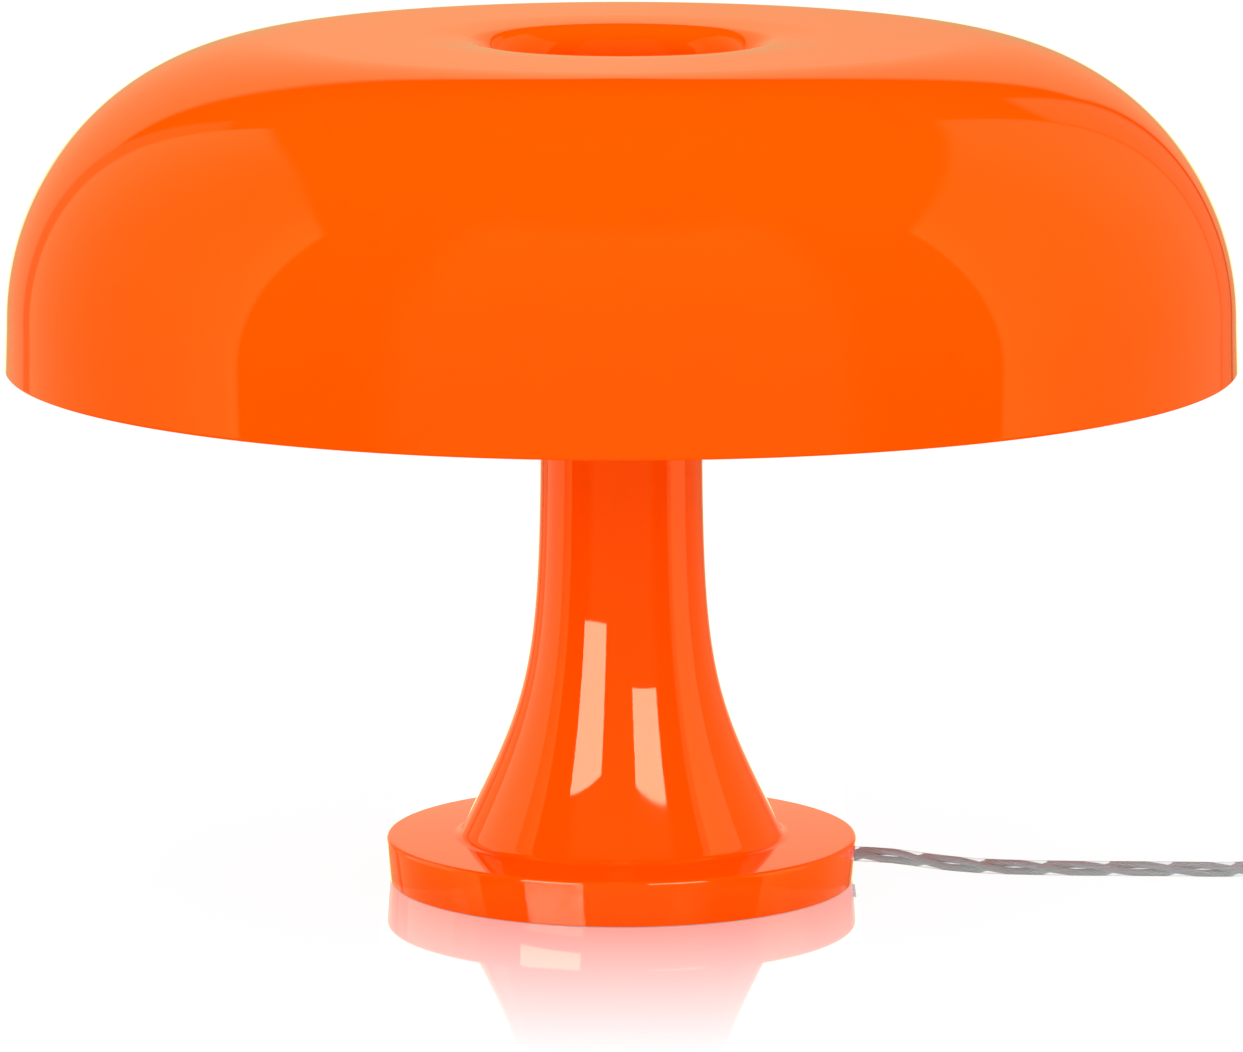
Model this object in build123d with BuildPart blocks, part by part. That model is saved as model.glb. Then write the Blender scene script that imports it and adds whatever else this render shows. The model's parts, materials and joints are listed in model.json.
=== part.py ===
from build123d import *

import os
from math import cos, pi, radians, sin, tan

# Mushroom table lamp: one glossy shade with a well in its top, on a stem that flares into a round
# foot, with four lamps on a carrier inside the shade and a clear cord with a hand switch and a plug.
# Millimetres, +Z up. The origin is on the table under the lamp's axis, and -Y faces the viewer.

os.makedirs("parts", exist_ok=True)

# Clearances
slip = 0.1  # round a fixed piece in its hole
running = 0.08  # round a pin that turns
seat = 0.05  # under a piece that lifts off
free = 0.4  # beside a piece that moves past another

# Foot and stem, one moulding
pad_stand = 1.0
disc_height = 11.0
disc_bottom_radius = 60.8
disc_taper = 0.9
disc_edge_fillet = 1.0
moulding_wall = 2.6
stem_foot_radius = 42.3
stem_neck_radius = 21.1
stem_height = 134.0
stem_foot_fillet = 3.0
stem_top_fillet = 1.2
stem_top_wall = 3.0
flare_height = 100.4
flare_lean = 22.1
flare_foot_pull = 28.2
flare_neck_pull = 72.0

disc_bottom = pad_stand
disc_top = disc_bottom + disc_height
disc_top_radius = disc_bottom_radius + disc_taper
disc_ceiling = disc_top - moulding_wall
stem_top = disc_top + stem_height
rim_inner_radius = disc_bottom_radius - moulding_wall

# Conduit, the threaded tube that clamps the stack together
conduit_radius = 5.0
conduit_bore = 3.6
conduit_above_floor = 8.5
bore_radius = conduit_radius + slip

# Ballast and bottom cover
ballast_thickness = 4.0
ballast_gap = 1.7
ballast_radius = rim_inner_radius - ballast_gap
ballast_bottom = disc_ceiling - ballast_thickness
cover_thickness = 1.6
cover_top = disc_bottom + cover_thickness
cover_radius = rim_inner_radius - slip
boss_inset = 7.2
boss_circle_radius = rim_inner_radius - boss_inset
boss_radius = 4.0
boss_count = 3
screw_radius = 1.45
screw_length = 5.0
screw_head_radius = 2.9
pad_radius = 6.0
pad_inset = 8.2
pad_circle_radius = rim_inner_radius - pad_inset
pad_count = 4
pad_sunk = 0.4
pad_edge = 0.3

# Cord, its exit in the foot and its clamp
cord_radius = 2.0
cord_lift = 0.05
cord_rest = cord_radius + cord_lift
exit_azimuth = 6.5
exit_straight = 3.0
grommet_room = 0.4
grommet_wall = 0.5
grommet_radius = cord_radius + grommet_room + grommet_wall
grommet_collar = 1.0
slot_width = 9.0
slot_start = 26.0
clamp_distance = 39.0
clamp_length = 8.0
clamp_width = 20.0
clamp_floor = 0.9
clamp_above_cover = 0.1
clamp_corner = 1.5
exit_height = cover_top + clamp_above_cover + clamp_floor + cord_radius
clamp_screw_spacing = 14.0
clamp_screw_radius = 1.2
clamp_screw_head_radius = 2.2
clamp_screw_head_height = 0.9
clamp_screw_reach = 3.0

# Terminal block on the ballast, inside the stem
terminal_start = 12.0
terminal_length = 12.0
terminal_width = 15.0
terminal_height = 10.0
terminal_pitch = 6.0
core_radius = 0.8
core_spacing = 2.0
harness_radius = 2.2
harness_bend = 6.0
wire_radius = 1.0
wire_bend = 2.2
wire_inset = 5.0
wire_into_holder = 3.0
wire_below_holder = 1.75
core_bend = 1.6
core_rise = slot_start + 3.0
core_overlap = 4.0
barrel_radius = 2.2
terminal_corner = 1.0
window_room = 1.0
terminal_mid = disc_ceiling + terminal_height / 2

# Lamp carrier, nut, spacer and gasket on top of the stem
carrier_thickness = 1.5
carrier_hub_radius = 19.0
carrier_arm_width = 14.0
carrier_bend = 1.6
carrier_tab_corner = 4.6
nut_height = 4.0
nut_flats = 17.0
spacer_height = 3.5
spacer_radius = 8.5
gasket_height = 1.0
gasket_radius = 12.0
carrier_top = stem_top + carrier_thickness
nut_top = carrier_top + nut_height
spacer_top = nut_top + spacer_height
gasket_top = spacer_top + gasket_height
wire_height = nut_top + spacer_height / 2

# Lamps: each lies along a ray, and these are lengths along it from the back of its holder
lamp_count = 4
holder_chamfer = 1.5
holder_radius = 12.0
lamp_height = wire_height + wire_radius + wire_below_holder + holder_radius
holder_mouth = 36.0
holder_bore = 9.6
holder_floor = 6.0
holder_step = 10.0
sleeve_end = 26.0
sleeve_radius = 7.7
sleeve_bore = 7.15
cap_radius = 6.9
cap_start = 10.4
cap_end = 28.0
contact_tip = 8.4
contact_radius = 2.4
cap_rings = 5
cap_thread_depth = 0.6
cap_insulator = 2.0
contact_corner = 1.0
housing_end = 50.0
housing_foot_radius = 9.2
globe_radius = 22.5
globe_tip = 84.7
globe_wall = 1.2
tab_above_lamp = 10.0
holder_screw_radius = 2.0
holder_screw_head_radius = 3.6
holder_screw_head_height = 1.6
holder_screw_depth = 3.0

# Shade, one shell with a well in its top
shade_floor = gasket_top + seat
shade_wall = 2.5
shade_height = 85.6
shade_rim_radius = 160.0
shoulder_radius = 73.0
shoulder_taper = 0.5
dip_radius = 57.0
dip_slope = 5.0
lip_radius = 8.5
well_radius = 32.5
well_depth = 63.45
well_taper = 1.1
holder_clearance = 1.9
holder_start = well_radius + shade_wall + holder_clearance + holder_screw_head_height + carrier_thickness
well_corner = 4.0
shade_rim_fillet = 0.8

# Screw cap in the well
knob_radius = 14.0
knob_height = 11.5
knob_skin = 2.6
knob_flutes = 16
knob_flute_radius = 1.3
knob_edge = 1.5

# Hand switch on the cord, past the view
switch_start = 200.0
switch_length = 58.0
switch_width = 22.0
switch_height = 16.0
switch_wall = 2.0
switch_corner = 7.0
switch_edge = 2.0
switch_room_spare = 4.0
switch_room_corner = 2.0
switch_screw_head = 1.0
switch_screw_short = 2.0
rocker_dish = 1.4
switch_pivot = 12.6
rocker_reach = 11.8
rocker_width = 12.0
rocker_tilt = 7.0
rocker_below = 2.6
rocker_crown = 4.2
rocker_pin_radius = 1.3
rocker_pin_reach = 1.6
switch_screw_inset = 7.0

# Coil of the cord that is put away
middle_straight = 10.0
middle_drop = 18.0
tail_straight = 13.0
tail_drop = 24.0
coil_x = 306.0
coil_mid_radius = 22.0
coil_gap = 0.6
coil_pitch = 2 * cord_radius + coil_gap
coil_wind_quarters = 9
coil_climb_quarters = 2
coil_layers = 4
tie_thickness = 0.6
tie_width = 3.0
tie_clear = 0.25

# Two-pin plug
plug_length = 36.0
plug_face_width = 35.3
plug_thickness = 13.7
plug_neck_width = 12.0
plug_neck_thickness = 9.0
plug_waist_width = 25.4
plug_waist_thickness = 12.5
plug_pin_radius = 2.0
plug_core_radius = 1.55
plug_pin_length = 19.0
plug_pin_spacing = 18.6
plug_sleeve_length = 10.0
relief_length = 16.0
relief_radius = 3.6
relief_end_radius = cord_radius + 0.7
relief_grooves = 4
relief_groove_width = 1.3
relief_groove_depth = 0.2


def radial_plane(azimuth, distance, height):
    """A plane square to the ray at this azimuth: its x runs round the axis and its y runs up."""
    turn = radians(azimuth)
    outward = Vector(cos(turn), sin(turn), 0)
    return Plane(
        origin=outward * distance + Vector(0, 0, height),
        x_dir=(-sin(turn), cos(turn), 0),
        z_dir=outward,
    )


def upright_plane(azimuth, distance, height):
    """A plane that holds the ray at this azimuth: its x runs outward and its y runs up."""
    turn = radians(azimuth)
    return Plane(
        origin=(distance * cos(turn), distance * sin(turn), height),
        x_dir=(cos(turn), sin(turn), 0),
        z_dir=(sin(turn), -cos(turn), 0),
    )


def ray_axis(azimuth, height):
    """The outward ray at this azimuth and height."""
    turn = radians(azimuth)
    return Axis((0, 0, height), (cos(turn), sin(turn), 0))


def exit_point(distance, aside=0.0, height=exit_height):
    """A point beside the ray on which the cord leaves the foot."""
    return radial_plane(exit_azimuth, distance, height).from_local_coords((aside, 0, 0))


def bend_radii(points):
    """The largest arc that each corner of a route leaves room for."""
    radii = []
    for before, corner, after in zip(points, points[1:], points[2:]):
        into = Vector(corner) - Vector(before)
        out = Vector(after) - Vector(corner)
        half_turn = radians(into.get_angle(out)) / 2
        radii.append(0.45 * min(into.length, out.length) / tan(half_turn))
    return radii


def round_tube(points, radius, radii):
    """A tube along straight runs joined by arcs."""
    with BuildPart() as tube:
        with BuildLine() as route:
            FilletPolyline(*points, radius=radii)
        path = route.wire()
        with BuildSketch(Plane(origin=path @ 0, z_dir=path % 0)):
            Circle(radius)
        sweep(path=path)
    return tube.part, path.length


def cord_tube(name, points):
    """One free stretch of the cord, with its radii and volume printed."""
    radii = bend_radii(points)
    solid, length = round_tube(points, cord_radius, radii)
    print(name, "radii", [round(radius, 1) for radius in radii], "length", round(length, 1))
    print(name, "volume over section times length", round(solid.volume / (pi * cord_radius**2 * length), 4))
    solid.label = name
    export_step(solid, f"parts/{name}.step")
    return length


lamp_azimuths = [360 / lamp_count * i for i in range(lamp_count)]

# Foot and stem moulding: a section revolved, open below, with the stem's top closed
lean = radians(flare_lean)
flare_top = disc_top + flare_height
foot_pull = (flare_foot_pull * sin(lean), flare_foot_pull * cos(lean))
inner_foot_radius = stem_foot_radius - moulding_wall / cos(lean) + moulding_wall * tan(lean)
inner_neck_radius = stem_neck_radius - moulding_wall

with BuildPart() as base_moulding:
    with BuildSketch(Plane.XZ):
        with BuildLine():
            Polyline(
                (stem_foot_radius, disc_top),
                (disc_top_radius, disc_top),
                (disc_bottom_radius, disc_bottom),
                (rim_inner_radius, disc_bottom),
                (rim_inner_radius, disc_ceiling),
                (inner_foot_radius, disc_ceiling),
            )
            Bezier(
                (inner_foot_radius, disc_ceiling),
                (inner_foot_radius - foot_pull[0], disc_ceiling + foot_pull[1]),
                (inner_neck_radius, flare_top - flare_neck_pull),
                (inner_neck_radius, flare_top),
            )
            Polyline(
                (inner_neck_radius, flare_top),
                (inner_neck_radius, stem_top - stem_top_wall),
                (bore_radius, stem_top - stem_top_wall),
                (bore_radius, stem_top),
                (stem_neck_radius, stem_top),
                (stem_neck_radius, flare_top),
            )
            Bezier(
                (stem_neck_radius, flare_top),
                (stem_neck_radius, flare_top - flare_neck_pull),
                (stem_foot_radius - foot_pull[0], disc_top + foot_pull[1]),
                (stem_foot_radius, disc_top),
            )
        make_face()
    revolve(axis=Axis.Z)
    rims = base_moulding.edges().filter_by(GeomType.CIRCLE)
    fillet(rims.filter_by(lambda e: abs(e.radius - disc_top_radius) < 0.01), disc_edge_fillet)
    rims = base_moulding.edges().filter_by(GeomType.CIRCLE)
    fillet(rims.filter_by(lambda e: abs(e.radius - stem_foot_radius) < 0.01), stem_foot_fillet)
    rims = base_moulding.edges().filter_by(GeomType.CIRCLE)
    top_rim = rims.filter_by(lambda e: abs(e.radius - stem_neck_radius) < 0.01).sort_by(Axis.Z)[-1]
    fillet(top_rim, stem_top_fillet)
    with BuildSketch(Plane.XY.offset(cover_top)):
        with PolarLocations(boss_circle_radius, boss_count, start_angle=90):
            Circle(boss_radius)
    extrude(amount=disc_ceiling - cover_top)
    with BuildSketch(Plane.XY.offset(cover_top)):
        with PolarLocations(boss_circle_radius, boss_count, start_angle=90):
            Circle(screw_radius + slip)
    extrude(amount=screw_length, mode=Mode.SUBTRACT)
    with BuildSketch(radial_plane(exit_azimuth, ballast_radius, exit_height)):
        Circle(grommet_radius + slip)
    extrude(amount=disc_top_radius - ballast_radius, mode=Mode.SUBTRACT)
base_moulding.part.label = "base_moulding"
export_step(base_moulding.part, "parts/base_moulding.step")

clamp_bottom = exit_height - cord_radius - clamp_floor
clamp_screw_places = [exit_point(clamp_distance, side * clamp_screw_spacing / 2, 0) for side in (-1, 1)]

# Steel ballast: tapped for the conduit, slotted for the cord, notched round the cover's bosses
with BuildPart() as ballast_plate:
    with BuildSketch(Plane.XY.offset(ballast_bottom)):
        Circle(ballast_radius)
        Circle(bore_radius, mode=Mode.SUBTRACT)
        with PolarLocations(boss_circle_radius, boss_count, start_angle=90):
            Circle(boss_radius + free, mode=Mode.SUBTRACT)
        slot_length = ballast_radius - slot_start
        with Locations(Rotation(0, 0, exit_azimuth)):
            with Locations((slot_start + slot_length, 0)):
                Rectangle(2 * slot_length, slot_width, mode=Mode.SUBTRACT)
        with Locations(*clamp_screw_places):
            Circle(clamp_screw_radius + slip, mode=Mode.SUBTRACT)
    extrude(amount=ballast_thickness)
ballast_plate.part.label = "ballast_plate"
export_step(ballast_plate.part, "parts/ballast_plate.step")

# Bottom cover with countersunk screws and four rubber pads let into it
def cover_screw(room):
    """One countersunk screw of the bottom cover, or with some room round it the hole that it needs."""
    with BuildPart() as screw:
        with BuildSketch(Plane.XZ):
            with BuildLine():
                Polyline(
                    (0, disc_bottom),
                    (screw_head_radius + room, disc_bottom),
                    (screw_radius + room, disc_bottom + screw_head_radius - screw_radius),
                    (screw_radius + room, disc_bottom + screw_length),
                    (0, disc_bottom + screw_length),
                    close=True,
                )
            make_face()
        revolve(axis=Axis.Z)
    return screw.part


with BuildPart() as base_cover:
    with BuildSketch(Plane.XY.offset(disc_bottom)):
        Circle(cover_radius)
    extrude(amount=cover_thickness)
    with Locations(Plane(origin=(0, 0, disc_bottom), z_dir=(0, 0, -1))):
        with PolarLocations(pad_circle_radius, pad_count, start_angle=45):
            Hole(pad_radius + slip, depth=pad_sunk)
    with PolarLocations(boss_circle_radius, boss_count, start_angle=90):
        add(cover_screw(slip), mode=Mode.SUBTRACT)
base_cover.part.label = "base_cover"
export_step(base_cover.part, "parts/base_cover.step")

with BuildPart() as cover_screws:
    with PolarLocations(boss_circle_radius, boss_count, start_angle=90):
        add(cover_screw(0))
cover_screws.part.label = "cover_screws"
export_step(cover_screws.part, "parts/cover_screws.step")

with BuildPart() as pads:
    with BuildSketch():
        with PolarLocations(pad_circle_radius, pad_count, start_angle=45):
            Circle(pad_radius)
    extrude(amount=pad_stand + pad_sunk)
    chamfer(pads.edges().group_by(Axis.Z)[0], pad_edge)
pads.part.label = "pads"
export_step(pads.part, "parts/pads.step")

# Bush in the foot's side, clamp across the slot, and the clamp's screws
with BuildPart() as cord_grommet:
    with BuildSketch(radial_plane(exit_azimuth, rim_inner_radius - grommet_collar, exit_height)):
        Circle(grommet_radius)
        Circle(cord_radius + grommet_room, mode=Mode.SUBTRACT)
    extrude(amount=moulding_wall + grommet_collar)
cord_grommet.part.label = "cord_grommet"
export_step(cord_grommet.part, "parts/cord_grommet.step")

with BuildPart() as cord_clamp:
    with BuildSketch(Plane.XY.offset(clamp_bottom)):
        with Locations(Rotation(0, 0, exit_azimuth)):
            with Locations((clamp_distance, 0)):
                RectangleRounded(clamp_length, clamp_width, clamp_corner)
                with Locations((0, clamp_screw_spacing / 2), (0, -clamp_screw_spacing / 2)):
                    Circle(clamp_screw_radius + slip, mode=Mode.SUBTRACT)
    extrude(amount=ballast_bottom - clamp_bottom)
    with BuildSketch(Plane.XY.offset(clamp_bottom)):
        with Locations(*clamp_screw_places):
            Circle(clamp_screw_head_radius + slip)
    extrude(amount=clamp_screw_head_height, mode=Mode.SUBTRACT)
    with BuildSketch(radial_plane(exit_azimuth, clamp_distance - clamp_length, exit_height)):
        Circle(cord_radius + slip)
    extrude(amount=2 * clamp_length, mode=Mode.SUBTRACT)
cord_clamp.part.label = "cord_clamp"
export_step(cord_clamp.part, "parts/cord_clamp.step")

with BuildPart() as clamp_screws:
    with BuildSketch(Plane.XY.offset(clamp_bottom)):
        with Locations(*clamp_screw_places):
            Circle(clamp_screw_head_radius)
    extrude(amount=clamp_screw_head_height)
    with BuildSketch(Plane.XY.offset(clamp_bottom)):
        with Locations(*clamp_screw_places):
            Circle(clamp_screw_radius)
    extrude(amount=ballast_bottom - clamp_bottom + clamp_screw_reach)
clamp_screws.part.label = "clamp_screws"
export_step(clamp_screws.part, "parts/clamp_screws.step")

# Terminal block on the ballast: two brass barrels in a body with a screw above each
terminal_plane = Plane(origin=(0, 0, disc_ceiling)).rotated((0, 0, exit_azimuth))
terminal_places = [(terminal_start + terminal_length / 2, side * terminal_pitch / 2) for side in (-1, 1)]

with BuildPart() as terminal_block:
    with BuildSketch(terminal_plane):
        with Locations((terminal_start + terminal_length / 2, 0)):
            RectangleRounded(terminal_length, terminal_width, terminal_corner)
    extrude(amount=terminal_height)
    with BuildSketch(terminal_plane.offset(terminal_height)):
        with Locations(*terminal_places):
            Circle(barrel_radius)
    extrude(amount=-terminal_height / 2, mode=Mode.SUBTRACT)
    with BuildSketch(radial_plane(exit_azimuth, terminal_start, terminal_mid)):
        with Locations((-terminal_pitch / 2, 0), (terminal_pitch / 2, 0)):
            Circle(barrel_radius + slip)
    extrude(amount=terminal_length, mode=Mode.SUBTRACT)
terminal_block.part.label = "terminal_block"
export_step(terminal_block.part, "parts/terminal_block.step")

with BuildPart() as terminal_barrels:
    with BuildSketch(radial_plane(exit_azimuth, terminal_start, terminal_mid)):
        with Locations((-terminal_pitch / 2, 0), (terminal_pitch / 2, 0)):
            Circle(barrel_radius)
            Circle(core_radius + slip, mode=Mode.SUBTRACT)
    extrude(amount=terminal_length)
terminal_barrels.part.label = "terminal_barrels"
export_step(terminal_barrels.part, "parts/terminal_barrels.step")

# Conduit: a window for the harness near its foot and four holes for the lamps' wires near its top
conduit_top = shade_floor + shade_wall + conduit_above_floor
window_bottom = terminal_mid - harness_radius - window_room
window_top = terminal_mid + harness_bend + harness_radius

with BuildPart() as conduit:
    with BuildSketch(Plane.XY.offset(ballast_bottom)):
        Circle(conduit_radius)
        Circle(conduit_bore, mode=Mode.SUBTRACT)
    extrude(amount=conduit_top - ballast_bottom)
    with BuildSketch(radial_plane(exit_azimuth, 0, (window_bottom + window_top) / 2)):
        SlotOverall(window_top - window_bottom, 2 * harness_radius + window_room, rotation=90)
    extrude(amount=2 * conduit_radius, mode=Mode.SUBTRACT)
    for azimuth in lamp_azimuths:
        with BuildSketch(radial_plane(azimuth, 0, wire_height)):
            Circle(wire_radius + slip)
        extrude(amount=2 * conduit_radius, mode=Mode.SUBTRACT)
conduit.part.label = "conduit"
export_step(conduit.part, "parts/conduit.step")

# Pressed lamp carrier: a hub on the stem's top and an arm with an upturned tab for each lamp
tab_outside = holder_start
tab_inside = tab_outside - carrier_thickness
tab_top = lamp_height + tab_above_lamp

with BuildPart() as lamp_carrier:
    with BuildSketch(Plane.XY.offset(stem_top)):
        Circle(carrier_hub_radius)
        with PolarLocations(tab_outside / 2, lamp_count):
            Rectangle(tab_outside, carrier_arm_width)
        Circle(bore_radius, mode=Mode.SUBTRACT)
    extrude(amount=carrier_thickness)
    with BuildSketch(Plane.XY.offset(stem_top)):
        with PolarLocations((tab_inside + tab_outside) / 2, lamp_count):
            Rectangle(carrier_thickness, carrier_arm_width)
    extrude(amount=tab_top - stem_top)
    bends = lamp_carrier.edges().filter_by(GeomType.LINE)
    inner_bends = bends.filter_by(
        lambda e: abs(e.center().Z - carrier_top) < 0.01
        and abs(max(abs(e.center().X), abs(e.center().Y)) - tab_inside) < 0.01
    )
    fillet(inner_bends, carrier_bend)
    bends = lamp_carrier.edges().filter_by(GeomType.LINE)
    outer_bends = bends.filter_by(
        lambda e: abs(e.center().Z - stem_top) < 0.01
        and abs(max(abs(e.center().X), abs(e.center().Y)) - tab_outside) < 0.01
    )
    fillet(outer_bends, carrier_bend + carrier_thickness)
    upper_corners = lamp_carrier.edges().group_by(Axis.Z)[-1].filter_by(
        lambda e: abs(e.length - carrier_thickness) < 0.01
    )
    fillet(upper_corners, carrier_tab_corner)
    for azimuth in lamp_azimuths:
        with BuildSketch(radial_plane(azimuth, tab_inside - slip, 0)):
            with Locations((0, lamp_height)):
                Circle(holder_screw_radius + slip)
            with Locations((0, wire_height)):
                Circle(wire_radius + free)
        extrude(amount=carrier_thickness + 2 * slip, mode=Mode.SUBTRACT)
lamp_carrier.part.label = "lamp_carrier"
export_step(lamp_carrier.part, "parts/lamp_carrier.step")

with BuildPart() as carrier_nut:
    with BuildSketch(Plane.XY.offset(carrier_top)):
        RegularPolygon(nut_flats / 2, 6, major_radius=False)
        Circle(bore_radius, mode=Mode.SUBTRACT)
    extrude(amount=nut_height)
carrier_nut.part.label = "carrier_nut"
export_step(carrier_nut.part, "parts/carrier_nut.step")

with BuildPart() as shade_spacer:
    with BuildSketch(Plane.XY.offset(nut_top)):
        Circle(spacer_radius)
        Circle(bore_radius, mode=Mode.SUBTRACT)
    extrude(amount=spacer_height)
    for azimuth in lamp_azimuths:
        with BuildSketch(radial_plane(azimuth, 0, wire_height)):
            Circle(wire_radius + slip)
        extrude(amount=2 * spacer_radius, mode=Mode.SUBTRACT)
shade_spacer.part.label = "shade_spacer"
export_step(shade_spacer.part, "parts/shade_spacer.step")

with BuildPart() as shade_gasket:
    with BuildSketch(Plane.XY.offset(spacer_top)):
        Circle(gasket_radius)
        Circle(bore_radius, mode=Mode.SUBTRACT)
    extrude(amount=gasket_height)
shade_gasket.part.label = "shade_gasket"
export_step(shade_gasket.part, "parts/shade_gasket.step")

# Wiring: two cores up to the terminals, a harness up the conduit and a wire to each holder
harness_top = nut_top + spacer_height

core_end = terminal_start + terminal_length - core_overlap
with BuildPart() as cord_cores:
    for side in (-1, 1):
        core_route = [
            exit_point(clamp_distance - clamp_length, side * core_spacing / 2),
            exit_point(core_rise, side * core_spacing / 2),
            exit_point(core_rise, side * terminal_pitch / 2, terminal_mid),
            exit_point(core_end, side * terminal_pitch / 2, terminal_mid),
        ]
        add(round_tube(core_route, core_radius, core_bend)[0])
cord_cores.part.label = "cord_cores"
export_step(cord_cores.part, "parts/cord_cores.step")

harness_route = [
    exit_point(terminal_start, 0, terminal_mid),
    (0, 0, terminal_mid),
    (0, 0, harness_top),
]
with BuildPart() as wire_harness:
    add(round_tube(harness_route, harness_radius, harness_bend)[0])
wire_harness.part.label = "wire_harness"
export_step(wire_harness.part, "parts/wire_harness.step")

wire_rise = holder_start + wire_inset
wire_end = lamp_height - holder_radius + wire_into_holder
with BuildPart() as lamp_wires:
    for azimuth in lamp_azimuths:
        ray = upright_plane(azimuth, 0, 0)
        wire_route = [
            ray.from_local_coords((harness_radius + slip, wire_height, 0)),
            ray.from_local_coords((wire_rise, wire_height, 0)),
            ray.from_local_coords((wire_rise, wire_end, 0)),
        ]
        add(round_tube(wire_route, wire_radius, wire_bend)[0])
lamp_wires.part.label = "lamp_wires"
export_step(lamp_wires.part, "parts/lamp_wires.step")

# Lampholders: a revolved body with a stepped socket, a threaded sleeve, a contact and a fixing screw
def holder_body(azimuth):
    """The body of one lampholder, with the holes for its fixing screw and its wire."""
    with BuildPart() as body:
        with BuildSketch(upright_plane(azimuth, holder_start, lamp_height)):
            with BuildLine():
                Polyline(
                    (0, 0),
                    (0, holder_radius - holder_chamfer),
                    (holder_chamfer, holder_radius),
                    (holder_mouth, holder_radius),
                    (holder_mouth, holder_bore),
                    (holder_step, holder_bore),
                    (holder_step, sleeve_radius + slip),
                    (holder_floor, sleeve_radius + slip),
                    (holder_floor, 0),
                    close=True,
                )
            make_face()
        revolve(axis=ray_axis(azimuth, lamp_height))
        with BuildSketch(radial_plane(azimuth, holder_start, lamp_height)):
            Circle(holder_screw_radius + slip)
        extrude(amount=holder_screw_depth, mode=Mode.SUBTRACT)
        with BuildSketch(Plane.XY.offset(wire_end + slip)):
            with Locations(upright_plane(azimuth, wire_rise, 0).origin):
                Circle(wire_radius + slip)
        extrude(amount=-holder_radius, mode=Mode.SUBTRACT)
    return body.part


for index, azimuth in enumerate(lamp_azimuths):
    with BuildPart() as lampholder:
        add(holder_body(azimuth))
    lampholder.part.label = f"lampholder_{index + 1}"
    export_step(lampholder.part, f"parts/lampholder_{index + 1}.step")

with BuildPart() as holder_sleeves:
    for azimuth in lamp_azimuths:
        with BuildSketch(radial_plane(azimuth, holder_start + holder_floor, lamp_height)):
            Circle(sleeve_radius)
            Circle(sleeve_bore, mode=Mode.SUBTRACT)
        extrude(amount=sleeve_end - holder_floor)
holder_sleeves.part.label = "holder_sleeves"
export_step(holder_sleeves.part, "parts/holder_sleeves.step")

with BuildPart() as holder_contacts:
    for azimuth in lamp_azimuths:
        with BuildSketch(radial_plane(azimuth, holder_start + holder_floor, lamp_height)):
            RectangleRounded(2 * contact_radius, 4 * contact_radius, contact_corner)
        extrude(amount=contact_tip - holder_floor - slip)
holder_contacts.part.label = "holder_contacts"
export_step(holder_contacts.part, "parts/holder_contacts.step")

with BuildPart() as holder_screws:
    for azimuth in lamp_azimuths:
        with BuildSketch(radial_plane(azimuth, tab_inside, lamp_height)):
            Circle(holder_screw_radius)
        extrude(amount=carrier_thickness + holder_screw_depth - slip)
        with BuildSketch(radial_plane(azimuth, tab_inside, lamp_height)):
            Circle(holder_screw_head_radius)
        extrude(amount=-holder_screw_head_height)
holder_screws.part.label = "holder_screws"
export_step(holder_screws.part, "parts/holder_screws.step")

# Bulbs: a screw cap with its contact, a cone-shaped housing and a hollow globe
def bulb_cap(azimuth):
    """The cap of one bulb: its rings stand for the screw thread, and its contact is at the back."""
    ring_length = (cap_end - cap_start) / cap_rings
    with BuildPart() as cap:
        with BuildSketch(upright_plane(azimuth, holder_start, lamp_height)):
            with BuildLine():
                points = [(contact_tip, 0), (contact_tip, contact_radius)]
                points.append((cap_start, contact_radius + cap_insulator))
                for ring in range(cap_rings):
                    start = cap_start + ring * ring_length
                    points.append((start, cap_radius - cap_thread_depth))
                    points.append((start + ring_length / 2, cap_radius))
                points.append((cap_end, cap_radius - cap_thread_depth))
                points.append((cap_end, 0))
                Polyline(*points, close=True)
            make_face()
        revolve(axis=ray_axis(azimuth, lamp_height))
    return cap.part


globe_middle = globe_tip - globe_radius
housing_neck = holder_mouth + free
housing_radius = (globe_radius**2 - (globe_middle - housing_end) ** 2) ** 0.5


def bulb_housing(azimuth):
    """The opaque cone between the cap and the globe of one bulb."""
    with BuildPart() as housing:
        with BuildSketch(upright_plane(azimuth, holder_start, lamp_height)):
            with BuildLine():
                Line((cap_end, 0), (cap_end, housing_foot_radius))
                neck = (housing_neck, housing_foot_radius)
                Line((cap_end, housing_foot_radius), neck)
                TangentArc(neck, (housing_end, housing_radius), tangent=(1, 0))
                Line((housing_end, housing_radius), (housing_end, 0))
                Line((housing_end, 0), (cap_end, 0))
            make_face()
        revolve(axis=ray_axis(azimuth, lamp_height))
    return housing.part


def bulb_globe(azimuth):
    """The hollow globe of one bulb, open where the housing closes it."""
    inner = globe_radius - globe_wall
    inner_edge = (inner**2 - (globe_middle - housing_end) ** 2) ** 0.5
    with BuildPart() as globe:
        with BuildSketch(upright_plane(azimuth, holder_start, lamp_height)):
            with BuildLine():
                ThreePointArc(
                    (housing_end, housing_radius), (globe_middle, globe_radius), (globe_tip, 0)
                )
                Line((globe_tip, 0), (globe_tip - globe_wall, 0))
                ThreePointArc((globe_tip - globe_wall, 0), (globe_middle, inner), (housing_end, inner_edge))
                Line((housing_end, inner_edge), (housing_end, housing_radius))
            make_face()
        revolve(axis=ray_axis(azimuth, lamp_height))
    return globe.part


for index, azimuth in enumerate(lamp_azimuths):
    for piece, make in (("cap", bulb_cap), ("housing", bulb_housing), ("globe", bulb_globe)):
        with BuildPart() as bulb_piece:
            add(make(azimuth))
        bulb_piece.part.label = f"bulb_{index + 1}_{piece}"
        export_step(bulb_piece.part, f"parts/bulb_{index + 1}_{piece}.step")

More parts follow.
